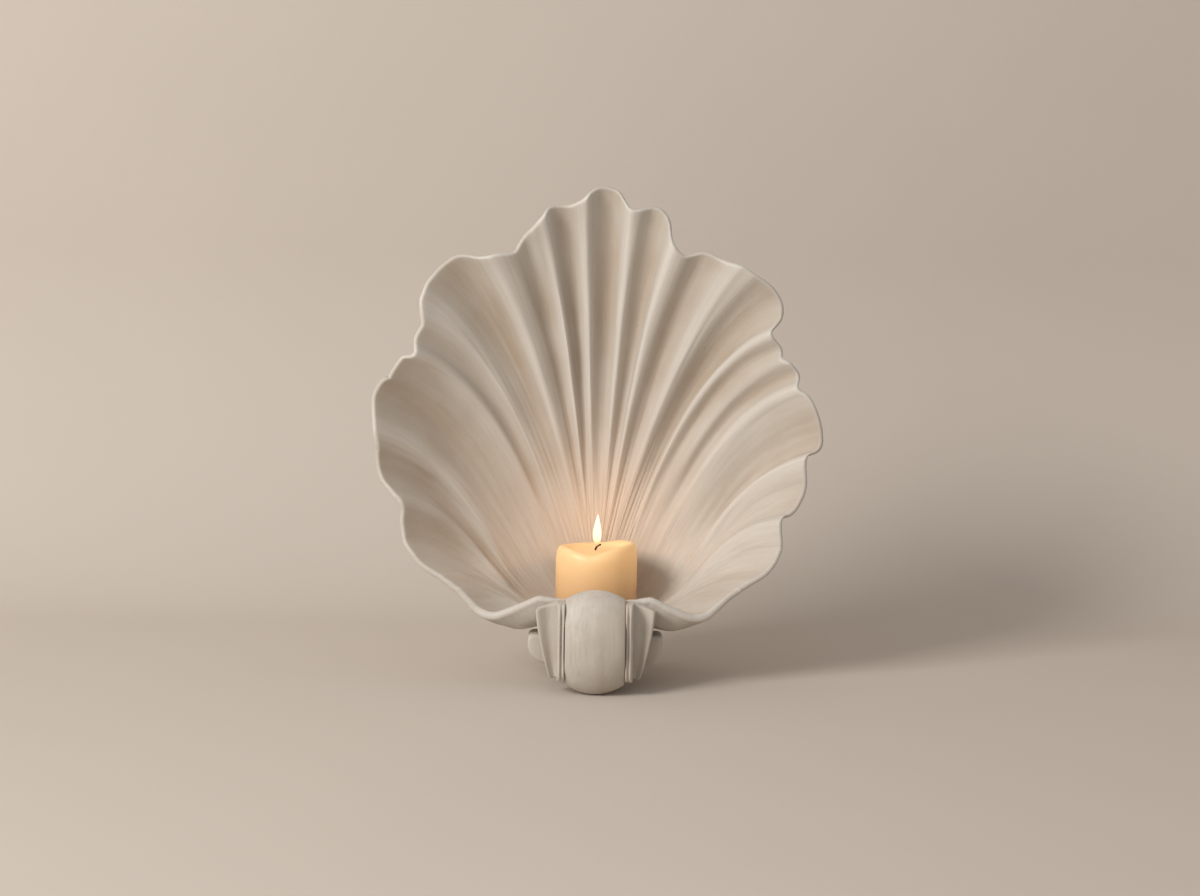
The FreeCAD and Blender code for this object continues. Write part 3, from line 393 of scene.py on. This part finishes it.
def plaster(name, fluted):
    """Whitewashed cast plaster: chalky white over warm brown, which stays in hollows and in brush streaks."""
    made, tree, shader = new_finish(name)
    place = add(tree, "TexCoord")
    if fluted:
        net_place = add(tree, "UVMap", uv_map="flutes")
        # 1160 mm round the rim: 380 streaks are 3 mm wide there, and as long as a third of a flute.
        streak_place = add(tree, "Mapping", {"Vector": net_place.outputs["UV"]}, {"Scale": (380, 4, 1)})
        broad_place = add(tree, "Mapping", {"Vector": net_place.outputs["UV"]}, {"Scale": (60, 2.2, 1)})
        relief = add(tree, "UVMap", uv_map="relief")
        hollow = add(tree, "SeparateXYZ", {"Vector": relief.outputs["UV"]}).outputs["X"]
    else:
        # Streaks 3 mm wide and 25 mm long run down the scroll pieces.
        streak_place = add(tree, "Mapping", {"Vector": place.outputs["Object"]},
                           {"Scale": (330, 330, 40)})
        broad_place = add(tree, "Mapping", {"Vector": place.outputs["Object"]}, {"Scale": (60, 60, 22)})
        lump = add(tree, "TexNoise", {"Vector": place.outputs["Object"]},
                   {"Scale": 32.0, "Detail": 3.0})
        hollow = lump.outputs["Fac"]
    streak = add(tree, "TexNoise", {"Vector": streak_place.outputs["Vector"]},
                 {"Scale": 1.0, "Detail": 5.0, "Roughness": 0.62})
    broad = add(tree, "TexNoise", {"Vector": broad_place.outputs["Vector"]},
                {"Scale": 1.0, "Detail": 4.0, "Roughness": 0.6})
    cloud = add(tree, "TexNoise", {"Vector": place.outputs["Object"]}, {"Scale": 11.0, "Detail": 4.0})
    rubbed = add(tree, "Math", {0: hollow, 1: broad.outputs["Fac"]}, operation="MULTIPLY")
    rubbed = add(tree, "Math", {0: rubbed.outputs[0], 1: cloud.outputs["Fac"]}, operation="ADD")
    rubbed = add(tree, "Math", {0: rubbed.outputs[0], 1: streak.outputs["Fac"]}, operation="ADD")
    brown = add(tree, "MapRange", {"Value": rubbed.outputs[0]},
                {"From Min": 1.16, "From Max": 1.80, "To Min": 0.0, "To Max": 0.65})
    wash = add(tree, "ValToRGB", {"Fac": streak.outputs["Fac"]})
    wash.color_ramp.elements[0].position, wash.color_ramp.elements[1].position = 0.30, 0.72
    wash.color_ramp.elements[0].color = paint("#BBB1A5")
    wash.color_ramp.elements[1].color = paint("#CDC7BE")
    coat = add(tree, "Mix", {0: brown.outputs["Result"], 6: wash.outputs["Color"]},
               {7: paint("#9E866B")},
               data_type="RGBA")
    ridge = add(tree, "MapRange", {"Value": hollow},
                {"From Min": 0.0, "From Max": 0.45, "To Min": 0.55, "To Max": 0.0})
    coat = add(tree, "Mix", {0: ridge.outputs["Result"], 6: coat.outputs[2]}, {7: paint("#DDD8D1")},
               data_type="RGBA")
    tree.links.new(coat.outputs[2], shader.inputs["Base Color"])
    # Chalk grain of about 1 mm, and air-bubble pits 2 mm across, some 40 mm apart.
    grain = add(tree, "TexNoise", {"Vector": place.outputs["Object"]}, {"Scale": 900.0, "Detail": 2.0})
    pits = add(tree, "TexVoronoi", {"Vector": place.outputs["Object"]},
               {"Scale": 26.0, "Randomness": 1.0})
    pit = add(tree, "MapRange", {"Value": pits.outputs["Distance"]},
              {"From Min": 0.02, "From Max": 0.05, "To Min": -1.0, "To Max": 0.0})
    height = add(tree, "Math", {0: streak.outputs["Fac"], 1: pit.outputs["Result"]}, operation="ADD")
    height = add(tree, "Math", {0: grain.outputs["Fac"], 2: height.outputs[0]}, {1: 0.25},
                 operation="MULTIPLY_ADD")
    bump = add(tree, "Bump", {"Height": height.outputs[0]}, {"Strength": 0.45, "Distance": 0.0007})
    tree.links.new(bump.outputs["Normal"], shader.inputs["Normal"])
    rough = add(tree, "MapRange", {"Value": hollow},
                {"From Min": 0.0, "From Max": 0.6, "To Min": 0.46, "To Max": 0.68})
    tree.links.new(rough.outputs["Result"], shader.inputs["Roughness"])
    shader.inputs["Specular IOR Level"].default_value = 0.42
    return made


shell_plaster = plaster("whitewashed_cast_plaster_fluted", True)
scroll_plaster = plaster("whitewashed_cast_plaster_modelled", False)
shell = new_piece("shell_casting", bm, shell_plaster, "sconce")

# The neck: 47 mm half width at the joint, coved out to 66 mm in the bowl's underside. Known fault:
# its inner faces make the join fail, so the neck is left out of the casting.
NECK_LEVEL, NECK_TOP, NECK_HALF_WIDTH, NECK_FLARE, NECK_STEPS = 45.0, 59.0, 47.0, 19.0, 10
NECK_BEHIND, NECK_BEFORE, NECK_SQUARENESS = 64, 58, 0.55
neck_outline = [(math.cos(math.radians(a)), math.sin(math.radians(a))) for a in range(0, 360, 4)]


def neck_station(height):
    rise = (height - NECK_LEVEL) / (NECK_TOP - NECK_LEVEL)
    half = NECK_HALF_WIDTH + NECK_FLARE * rise**1.8

    def at(point):
        x = math.copysign(abs(point[0]) ** NECK_SQUARENESS, point[0]) * half
        deep = math.copysign(abs(point[1]) ** NECK_SQUARENESS, point[1])
        reach = NECK_BEHIND if deep > 0 else NECK_BEFORE + 2 * rise
        return metres(x, SEAT_FROM_WALL - deep * reach, height)
    return at


neck_heights = [NECK_LEVEL + (NECK_TOP - NECK_LEVEL) * i / (NECK_STEPS - 1) for i in range(NECK_STEPS)]
neck = new_piece("neck", drawn_out(neck_outline, [neck_station(z) for z in neck_heights]),
                 shell_plaster, None)
merged(shell, neck, "UNION")

# The pad: flat at the back, 1.5 mm off the wall, its front sunk 3 mm behind the bowl's face.
PAD_HALF_WIDTH = 32.0
pad_outline = ((1.5, 66), (1.5, 262), (16.5, 262), (15.5, 245), (13.5, 200), (13, 156), (13.5, 118),
               (15, 87), (18, 66))
pad = new_piece("pad", drawn_out(pad_outline, [
    lambda p: metres(-PAD_HALF_WIDTH, *p), lambda p: metres(PAD_HALF_WIDTH, *p)]), shell_plaster, None)
merged(shell, pad, "UNION")


def block(low, high):
    """A plain cutter between two corners, in metres."""
    bm = bmesh.new()
    bmesh.ops.create_cube(bm, size=1)
    bmesh.ops.scale(bm, vec=high - low, verts=bm.verts)
    bmesh.ops.translate(bm, vec=(high + low) / 2, verts=bm.verts)
    return new_piece("cutter", bm, shell_plaster, None)


# The recess leaves 0.2 mm round the plate and is open behind; a pocket lies behind each keyhole.
PLAY, OPEN_BEHIND = Vector((0.0002, 0.0001, 0.0002)), Vector((0.0002, 0.002, 0.0002))
KEYHOLES, POCKET_HALF_WIDTH, POCKET_BOTTOM, POCKET_TOP, POCKET_DEPTH = (-16, 16), 6, 230, 251, 10.5
low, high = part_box("hanger_plate")
merged(shell, block(low - PLAY, high + OPEN_BEHIND), "DIFFERENCE")
for centre in KEYHOLES:
    merged(shell, block(metres(centre - POCKET_HALF_WIDTH, POCKET_DEPTH, POCKET_BOTTOM),
                        metres(centre + POCKET_HALF_WIDTH, 3.0, POCKET_TOP)), "DIFFERENCE")
shell.data.polygons.foreach_set("use_smooth", [True] * len(shell.data.polygons))
shell.data.set_sharp_from_angle(angle=math.radians(38))
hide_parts("shell")


# ---------------------------------------------------------------------------
# Scroll. The crowned roll, the stepped beads, the flaring wings and the side
# volutes are modelled in the same plaster, cast apart and set on the corbel.
# ---------------------------------------------------------------------------
ROLL_BACK, ROLL_AXIS, ROLL_DEPTH, ROLL_HEIGHT, ROLL_HALF_WIDTH = 126.0, 134.0, 24.0, 86.4, 24.5
ROLL_CROWN, ROLL_BOW, ROLL_CORNER = 8.0, 4.0, 1.2
ROLL_FOREMOST, ROLL_LOWEST = 157.9, 0.05        # the hand's unevenness stays within the solid
ROLL_ARC_POINTS, ROLL_BACK_POINTS = 64, 12
first = math.acos((ROLL_AXIS - ROLL_BACK) / ROLL_DEPTH)
roll_outline = []
for i in range(ROLL_ARC_POINTS):
    a = first + 2 * (math.pi - first) * i / (ROLL_ARC_POINTS - 1)
    roll_outline.append((ROLL_AXIS - ROLL_DEPTH * math.cos(a), ROLL_HEIGHT / 2 * (1 + math.sin(a))))
arc_start, arc_end = roll_outline[0][1], roll_outline[-1][1]
for i in range(1, ROLL_BACK_POINTS):
    roll_outline.append((ROLL_BACK, arc_end + (arc_start - arc_end) * i / ROLL_BACK_POINTS))


def roll_station(x, inset):
    share = abs(x) / ROLL_HALF_WIDTH
    crown = 1 - ROLL_CROWN / (ROLL_HEIGHT / 2) * share**2 - inset / (ROLL_HEIGHT / 2)
    bow = 1 - (ROLL_BOW * share**2 + 1.2 * share**8 + inset) / (ROLL_AXIS + ROLL_DEPTH - ROLL_BACK)

    def at(point):
        middle = ROLL_HEIGHT / 2
        z = middle + (point[1] - middle) * crown
        from_wall = ROLL_BACK + (point[0] - ROLL_BACK) * bow
        front = (point[0] - ROLL_BACK) / (ROLL_AXIS + ROLL_DEPTH - ROLL_BACK)
        hand = noise.noise(Vector((x * 0.12, point[1] * 0.02, 3))) * 0.5
        hand += noise.noise(Vector((x, point[1], 9)) * 0.05) * 0.6
        foremost = min(from_wall + hand * front * (1 - share**4), ROLL_FOREMOST)
        return metres(x, foremost, max(z, ROLL_LOWEST))
    return at


stations = []
for i in range(4):
    a = math.pi / 2 * i / 4
    stations.append((-ROLL_HALF_WIDTH + ROLL_CORNER * (1 - math.cos(a)),
                     ROLL_CORNER * (1 - math.sin(a))))
inner = ROLL_HALF_WIDTH - ROLL_CORNER
stations = [(-ROLL_HALF_WIDTH, ROLL_CORNER + 8)] + stations
stations += [(-inner + 2 * inner * i / 36, 0) for i in range(37)]
stations += [(-x, inset) for x, inset in reversed(stations[:5])]
roll = new_piece("scroll_roll_casting", drawn_out(roll_outline, [roll_station(*s) for s in stations]),
                 scroll_plaster, "sconce")
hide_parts("scroll_roll")

BEAD_START, BEAD_BOTTOM, BEAD_TOP, BEAD_CORNER, BEAD_DEPTH, BEAD_STEPS = 24.6, 11.5, 76.0, 10.0, 24, 44
# Across the bead and out from the corbel's front: a thin step, a groove, and a fat bead.
BEAD_PROFILE = ((0, 0), (0, 22.2), (0.3, 23.2), (1.0, 23.6), (1.8, 23.2), (2.4, 22.3), (2.7, 22.0),
                (3.0, 22.4),
                (3.5, 23.4), (4.2, 24.0), (4.9, 23.7), (5.6, 22.6), (6.1, 20.6), (6.4, 17.5), (6.4, 0))


def bead_station(sign, z):
    from_end = min(z - BEAD_BOTTOM, BEAD_TOP - z)
    back = 0.0
    if from_end < BEAD_CORNER:
        back = BEAD_CORNER - math.sqrt(BEAD_CORNER**2 - (BEAD_CORNER - from_end) ** 2)

    def at(point):
        return metres(sign * (BEAD_START + point[0]), ROLL_BACK + point[1] * (1 - back / BEAD_DEPTH), z)
    return at


WING_ROOT, WING_TOP, WING_BOTTOM = 31.0, 70.0, 13.0
wing_outline = [(0.0, 0.0)] + [(i / 12 * 0.86, 1.0) for i in range(13)]
wing_outline += [(0.86 + 0.14 * math.sin(a * math.pi / 12), 0.72 + 0.28 * math.cos(a * math.pi / 12))
                 for a in range(1, 7)]
wing_outline += [(1.0, 0.45), (0.97, 0.15), (0.92, 0.0), (0.6, 0.0), (0.3, 0.0)]


def wing_station(sign, z, inset):
    t = (z - WING_BOTTOM) / (WING_TOP - WING_BOTTOM)
    outer = 37.0 + 12.0 * t + 1.8 * 4 * t * (1 - t)

    def at(point):
        x = WING_ROOT + (outer - inset - WING_ROOT) * point[0]
        hollow = 1.4 * math.sin(math.pi * min(1, point[0] / 0.9)) ** 2
        deep = (9.0 + 4.0 * point[0] ** 1.7 - hollow - inset * 0.8) * point[1]
        rise = 6.0 * (1 - point[0]) * max(0, t - 0.6) / 0.4
        return metres(sign * x, ROLL_BACK + deep, z + rise)
    return at


VOLUTE_BACK, VOLUTE_FRONT, VOLUTE_ROOT, VOLUTE_REACH = 90.0, 117.0, 34.5, 21
VOLUTE_MIDDLE, VOLUTE_HALF_HEIGHT = 33, 12.5
volute_outline = [(VOLUTE_ROOT, 44.9), (51, 44.9), (53, 44.4), (54.6, 43.2), (55.3, 41.5), (55.5, 39)]
volute_outline += [(38.5 + 17 * math.cos(a), 37 + 17 * math.sin(a)) for a in
                   (-math.pi / 2 * i / 14 for i in range(15))]
volute_outline += [(VOLUTE_ROOT, 20)]


def volute_station(sign, from_wall, inset):
    def at(point):
        x = VOLUTE_ROOT + (point[0] - VOLUTE_ROOT) * (1 - inset / VOLUTE_REACH)
        z = VOLUTE_MIDDLE + (point[1] - VOLUTE_MIDDLE) * (1 - inset / VOLUTE_HALF_HEIGHT)
        return metres(sign * x, from_wall, z)
    return at


for sign, side in ((-1, "left"), (1, "right")):
    heights = [BEAD_BOTTOM + (BEAD_TOP - BEAD_BOTTOM) * (0.5 - 0.5 * math.cos(math.pi * i / BEAD_STEPS))
               for i in range(BEAD_STEPS + 1)]
    bead = new_piece("side_fillet_%s_casting" % side,
                     drawn_out(BEAD_PROFILE, [bead_station(sign, z) for z in heights]), scroll_plaster,
                     "sconce", 50)
    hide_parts("side_fillet_" + side)
    ends = [(WING_BOTTOM, 1.6), (WING_BOTTOM + 0.5, 0.6), (WING_BOTTOM + 1.6, 0)]
    spots = ends + [(WING_BOTTOM + (WING_TOP - WING_BOTTOM) * i / 24, 0) for i in range(1, 24)]
    spots += [(WING_TOP - 1.6, 0), (WING_TOP - 0.5, 0.6), (WING_TOP, 1.6)]
    wing = new_piece("wing_%s_casting" % side,
                     drawn_out(wing_outline, [wing_station(sign, *s) for s in spots]),
                     scroll_plaster, "sconce", 45)
    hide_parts("wing_" + side)
    spots = [(VOLUTE_BACK, 2.5), (VOLUTE_BACK + 0.7, 0.8), (VOLUTE_BACK + 2.2, 0),
             (VOLUTE_BACK + 12, 0),
             (VOLUTE_FRONT - 3, 0), (VOLUTE_FRONT - 1.6, 0.5), (VOLUTE_FRONT - 0.5, 1.6),
             (VOLUTE_FRONT, 3.2)]
    volute = new_piece("volute_%s_casting" % side,
                       drawn_out(volute_outline, [volute_station(sign, *s) for s in spots]),
                       scroll_plaster,
                       "sconce", 50)
    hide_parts("volute_" + side)

# The corbel is the solid itself, with its edges worn to a 1 mm round.
corbel = frame["nodes"]["bracket_body"]
corbel.material_slots[0].material = scroll_plaster
weld = corbel.modifiers.new("merge", "WELD")
weld.merge_threshold = 0.00002
worn = corbel.modifiers.new("worn_edges", "BEVEL")
worn.width, worn.segments, worn.limit_method, worn.angle_limit = 0.001, 3, "ANGLE", math.radians(35)


# ---------------------------------------------------------------------------
# Candle. A pillar of warm wax, 68 mm across, that has burnt down a little: its
# top is a sunk pool with an uneven soft rim; a painted glow on the wax stands for the flame's light.
# ---------------------------------------------------------------------------
CANDLE_FOOT, CANDLE_RADIUS = 59.65, 34.0
# Height of the rim over its mean, mm: 0 to the right, 90 at the back, 270 in front.
RIM_HEIGHTS = ((0, 3.6), (40, 2.4), (90, -1.6), (140, -1.4), (180, 0.6), (212, 1.6), (240, -0.8),
               (262, -2.6),
               (285, 0.6), (310, 3.6), (335, 4.2), (360, 3.6))
# Radius, height over the foot, and how much of the rim's unevenness reaches there.
CANDLE_PROFILE = (
    (0, 24.4, 0), (3.2, 24.4, 0), (3.2, 12, 0), (3.2, 2, 0), (6.6, 2, 0), (6.6, 0.2, 0), (20, 0, 0),
    (32.6, 0, 0),
    (33.7, 0.4, 0), (34, 1.4, 0), (34, 6, 0), (34, 12, 0), (34, 18, 0), (34, 24, 0), (34, 30, 0.1),
    (33.9, 35, 0.3),
    (33.8, 39, 0.5), (33.7, 42, 0.7), (33.5, 44.5, 0.85), (33.1, 46.6, 0.95), (32.4, 48.4, 1),
    (31.4, 49.7, 1),
    (30.2, 50.5, 1), (28.9, 50.7, 1), (27.6, 50.3, 1), (26.2, 49.4, 0.9), (24.8, 48.2, 0.7),
    (23.2, 47.3, 0.4),
    (21.4, 46.9, 0.2), (18, 46.8, 0.05), (12, 46.8, 0), (6, 46.9, 0), (3, 47.1, 0), (1.2, 47.6, 0),
    (0, 47.6, 0))
CANDLE_COLUMNS = 144

wax, tree, shader = new_finish("warm_candle_wax")
# Paraffin wax: soft and translucent, with a dull sheen where it was touched. Its colour is painted lighter
# towards the top and it has a painted glow (emission), strongest near the flame, that stands for the flame's
# light inside the wax.
place = add(tree, "TexCoord")
spot = add(tree, "SeparateXYZ", {"Vector": place.outputs["Object"]})
cloudy = add(tree, "TexNoise", {"Vector": place.outputs["Object"]}, {"Scale": 45.0, "Detail": 3.0})
# Painted light: this share rises from the lower candle to its top, so the wax is painted lighter and glows
# more towards the flame.
height = add(tree, "MapRange", {"Value": spot.outputs["Z"]},
             {"From Min": 0.066, "From Max": 0.112, "To Min": 0.0, "To Max": 1.0})
cloud_and_painted_light = add(tree, "Math", {0: cloudy.outputs["Fac"], 2: height.outputs["Result"]}, {1: 0.25},
            operation="MULTIPLY_ADD")
tone = add(tree, "ValToRGB", {"Fac": cloud_and_painted_light.outputs[0]})
tone.color_ramp.elements[0].position, tone.color_ramp.elements[1].position = 0.1, 1.1
tone.color_ramp.elements[0].color = paint("#D2A678")
tone.color_ramp.elements[1].color = paint("#EACA9C")
tree.links.new(tone.outputs["Color"], shader.inputs["Base Color"])
# Painted glow: an emission colour that stands for the flame's light inside the wax, dark low down and warm
# near the top.
painted_flame_glow = add(tree, "ValToRGB", {"Fac": cloud_and_painted_light.outputs[0]})
painted_flame_glow.color_ramp.elements[0].position, painted_flame_glow.color_ramp.elements[1].position = 0.15, 1.0
painted_flame_glow.color_ramp.elements[0].color = paint("#2A1608")
painted_flame_glow.color_ramp.elements[1].color = paint("#B07A38")
tree.links.new(painted_flame_glow.outputs["Color"], shader.inputs["Emission Color"])
shader.inputs["Emission Strength"].default_value = 0.6
shader.inputs["Subsurface Weight"].default_value = 0.25
shader.inputs["Subsurface Radius"].default_value = (0.012, 0.006, 0.003)
shader.inputs["Subsurface Scale"].default_value = 0.6
shader.inputs["Roughness"].default_value = 0.42
ripple = add(tree, "TexNoise", {"Vector": place.outputs["Object"]}, {"Scale": 160.0, "Detail": 3.0})
bump = add(tree, "Bump", {"Height": ripple.outputs["Fac"]}, {"Strength": 0.25, "Distance": 0.0006})
tree.links.new(bump.outputs["Normal"], shader.inputs["Normal"])

bm = bmesh.new()
bmesh.ops.create_grid(bm, x_segments=CANDLE_COLUMNS, y_segments=len(CANDLE_PROFILE) - 1, size=1)
for corner in bm.verts:
    column = round((corner.co.x + 1) / 2 * CANDLE_COLUMNS) % CANDLE_COLUMNS
    radius, height, share = CANDLE_PROFILE[round((corner.co.y + 1) / 2 * (len(CANDLE_PROFILE) - 1))]
    angle = math.tau * column / CANDLE_COLUMNS
    uneven = smooth_value(RIM_HEIGHTS, math.degrees(angle)) * share
    spot = Vector((math.cos(angle), math.sin(angle), height * 0.05))
    radius *= 1 + 0.012 * noise.noise(spot * 1.4) * (radius > 20)
    radius = min(radius, CANDLE_RADIUS)
    corner.co = metres(radius * math.cos(angle), SEAT_FROM_WALL - radius * math.sin(angle),
                       CANDLE_FOOT + height + uneven)
bmesh.ops.remove_doubles(bm, verts=bm.verts, dist=2e-6)
bmesh.ops.recalc_face_normals(bm, faces=bm.faces)
candle = new_piece("pillar_candle", bm, wax, "candle", 60)
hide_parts("candle")

# Wick: braided cotton, 1.6 mm thick, charred black and bent over to the right.
charred, tree, shader = new_finish("charred_cotton_wick")
place = add(tree, "TexCoord")
braid = add(tree, "TexNoise", {"Vector": place.outputs["Object"]}, {"Scale": 1400.0, "Detail": 2.0})
tone = add(tree, "ValToRGB", {"Fac": braid.outputs["Fac"]})
tone.color_ramp.elements[0].color = paint("#0B0907")
tone.color_ramp.elements[1].color = paint("#2B221B")
tree.links.new(tone.outputs["Color"], shader.inputs["Base Color"])
shader.inputs["Roughness"].default_value = 0.9
bump = add(tree, "Bump", {"Height": braid.outputs["Fac"]}, {"Strength": 0.6, "Distance": 0.0003})
tree.links.new(bump.outputs["Normal"], shader.inputs["Normal"])
WICK_PATH = ((-1.0, 100.0), (-1.0, 104.0), (-1.0, 107.0), (-0.8, 108.4), (-0.3, 109.6), (0.6, 110.7),
             (1.8, 111.5),
             (3.0, 111.9), (3.7, 111.9))


def wick_station(index):
    x, z = WICK_PATH[index]
    before, after = WICK_PATH[max(index - 1, 0)], WICK_PATH[min(index + 1, len(WICK_PATH) - 1)]
    run = Vector((after[0] - before[0], after[1] - before[1])).normalized()
    radius = 0.8 if index < len(WICK_PATH) - 1 else 0.5

    def at(point):
        return metres(x + run.y * point[0] * radius, SEAT_FROM_WALL + point[1] * radius,
                      z - run.x * point[0] * radius)
    return at


circle = [(math.cos(math.tau * i / 14), math.sin(math.tau * i / 14)) for i in range(14)]
wick = new_piece("burnt_wick", drawn_out(circle, [wick_station(i) for i in range(len(WICK_PATH))]),
                 charred, "candle")
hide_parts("wick")

# Flame: a teardrop of glowing gas, 27 mm tall and 7 mm wide; clear at its foot, white above.
burning, tree, shader = new_finish("candle_flame")
place = add(tree, "TexCoord")
spot = add(tree, "SeparateXYZ", {"Vector": place.outputs["Object"]})
up = add(tree, "MapRange", {"Value": spot.outputs["Z"]}, {"From Min": 0.1095, "From Max": 0.137})
tone = add(tree, "ValToRGB", {"Fac": up.outputs["Result"]})
tone.color_ramp.elements[0].color = paint("#D98A3C")
tone.color_ramp.elements[1].color = paint("#FFF0D0")
middle = tone.color_ramp.elements.new(0.32)
middle.color = paint("#FFE9BE")
tree.links.new(tone.outputs["Color"], shader.inputs["Emission Color"])
shader.inputs["Base Color"].default_value = (0, 0, 0, 1)
shader.inputs["Specular IOR Level"].default_value = 0.0
shader.inputs["Emission Strength"].default_value = 1.6
thin = add(tree, "MapRange", {"Value": up.outputs["Result"]},
           {"From Min": 0.0, "From Max": 0.25, "To Min": 0.25, "To Max": 1.0})
tree.links.new(thin.outputs["Result"], shader.inputs["Alpha"])
FLAME_FOOT, FLAME_HEIGHT, FLAME_SLIM, FLAME_OFFSET, FLAME_LEAN = 110.6, 27.2, 0.9, 0.2, 0.5
FLAME_PROFILE = ((0, 0.9), (0.06, 1.9), (0.14, 2.9), (0.24, 3.6), (0.34, 3.95), (0.44, 3.9),
                 (0.54, 3.5),
                 (0.64, 2.95), (0.74, 2.25), (0.84, 1.5), (0.92, 0.85), (0.97, 0.4), (1, 0.05))


def flame_station(share, radius):
    def at(point):
        return metres(FLAME_OFFSET + point[0] * radius * FLAME_SLIM + FLAME_LEAN * share**2,
                      SEAT_FROM_WALL + point[1] * radius * FLAME_SLIM,
                      FLAME_FOOT + FLAME_HEIGHT * share)
    return at


circle = [(math.cos(math.tau * i / 24), math.sin(math.tau * i / 24)) for i in range(24)]
flame = new_piece("flame", drawn_out(circle, [flame_station(*s) for s in FLAME_PROFILE]),
                  burning, "candle", 80)
flame.visible_shadow = False

flame_light = bpy.data.objects.new("flame_light", bpy.data.lights.new("flame_light", "POINT"))
flame_light.data.energy = 0.052
flame_light.data.shadow_soft_size = 0.007
flame_light.data.color = paint("#FFB066")[:3]
flame_light.location = metres(0.3, SEAT_FROM_WALL, 127)
scene.collection.objects.link(flame_light)
# The wax has a painted glow for the flame's light, so the lamp in the flame lights only the plaster round it.
lit_by_flame = bpy.data.collections.new("lit_by_flame")
for plaster_piece in [o for o in scene.objects if o.name.endswith("_casting")]:
    lit_by_flame.objects.link(plaster_piece)
flame_light.light_linking.receiver_collection = lit_by_flame


# ---------------------------------------------------------------------------
# Drip plate and spike: spun brass, lightly tarnished. Hanger, screws, bolts,
# washers and the bar in the neck: zinc-plated steel. Key: beech. Strips: felt.
# ---------------------------------------------------------------------------
def metal(name, light, dark, roughness, scratch):
    """A plated or spun metal with fine marks and small changes of tone."""
    made, tree, shader = new_finish(name)
    place = add(tree, "TexCoord")
    cloud = add(tree, "TexNoise", {"Vector": place.outputs["Object"]}, {"Scale": 90.0, "Detail": 4.0})
    tone = add(tree, "ValToRGB", {"Fac": cloud.outputs["Fac"]})
    tone.color_ramp.elements[0].color, tone.color_ramp.elements[1].color = paint(dark), paint(light)
    tree.links.new(tone.outputs["Color"], shader.inputs["Base Color"])
    shader.inputs["Metallic"].default_value = 1.0
    marks = add(tree, "TexNoise", {"Vector": place.outputs["Object"]},
                {"Scale": scratch, "Detail": 3.0})
    rough = add(tree, "MapRange", {"Value": marks.outputs["Fac"]},
                {"To Min": roughness - 0.1, "To Max": roughness + 0.12})
    tree.links.new(rough.outputs["Result"], shader.inputs["Roughness"])
    bump = add(tree, "Bump", {"Height": marks.outputs["Fac"]}, {"Strength": 0.2, "Distance": 0.0002})
    tree.links.new(bump.outputs["Normal"], shader.inputs["Normal"])
    return made


brass = metal("spun_brass", "#C9A55A", "#9C7638", 0.32, 900.0)
steel = metal("zinc_plated_steel", "#C4C5C4", "#9FA1A0", 0.38, 1200.0)

beech, tree, shader = new_finish("plain_beech")
place = add(tree, "TexCoord")
grain_place = add(tree, "Mapping", {"Vector": place.outputs["Object"]}, {"Scale": (900, 90, 900)})
grain = add(tree, "TexNoise", {"Vector": grain_place.outputs["Vector"]}, {"Scale": 1.0, "Detail": 4.0})
tone = add(tree, "ValToRGB", {"Fac": grain.outputs["Fac"]})
tone.color_ramp.elements[0].color, tone.color_ramp.elements[1].color = paint("#A97B50"), paint("#C79C6E")
tree.links.new(tone.outputs["Color"], shader.inputs["Base Color"])
shader.inputs["Roughness"].default_value = 0.6

felt, tree, shader = new_finish("wool_felt")
place = add(tree, "TexCoord")
fibre = add(tree, "TexNoise", {"Vector": place.outputs["Object"]}, {"Scale": 1500.0, "Detail": 4.0})
tone = add(tree, "ValToRGB", {"Fac": fibre.outputs["Fac"]})
tone.color_ramp.elements[0].color, tone.color_ramp.elements[1].color = paint("#2E2823"), paint("#574D44")
tree.links.new(tone.outputs["Color"], shader.inputs["Base Color"])
shader.inputs["Roughness"].default_value = 0.95
shader.inputs["Sheen Weight"].default_value = 0.3
bump = add(tree, "Bump", {"Height": fibre.outputs["Fac"]}, {"Strength": 0.6, "Distance": 0.0004})
tree.links.new(bump.outputs["Normal"], shader.inputs["Normal"])

for name, finish in (("candle_plate", brass), ("pricket", brass), ("joining_bolts", steel),
                     ("joining_washers", steel), ("anchor_plate", steel), ("hanger_plate", steel),
                     ("hanger_screws", steel), ("scroll_key", beech), ("wall_bumpers", felt),
                     ("foot_pads", felt)):
    frame["nodes"][name].material_slots[0].material = finish
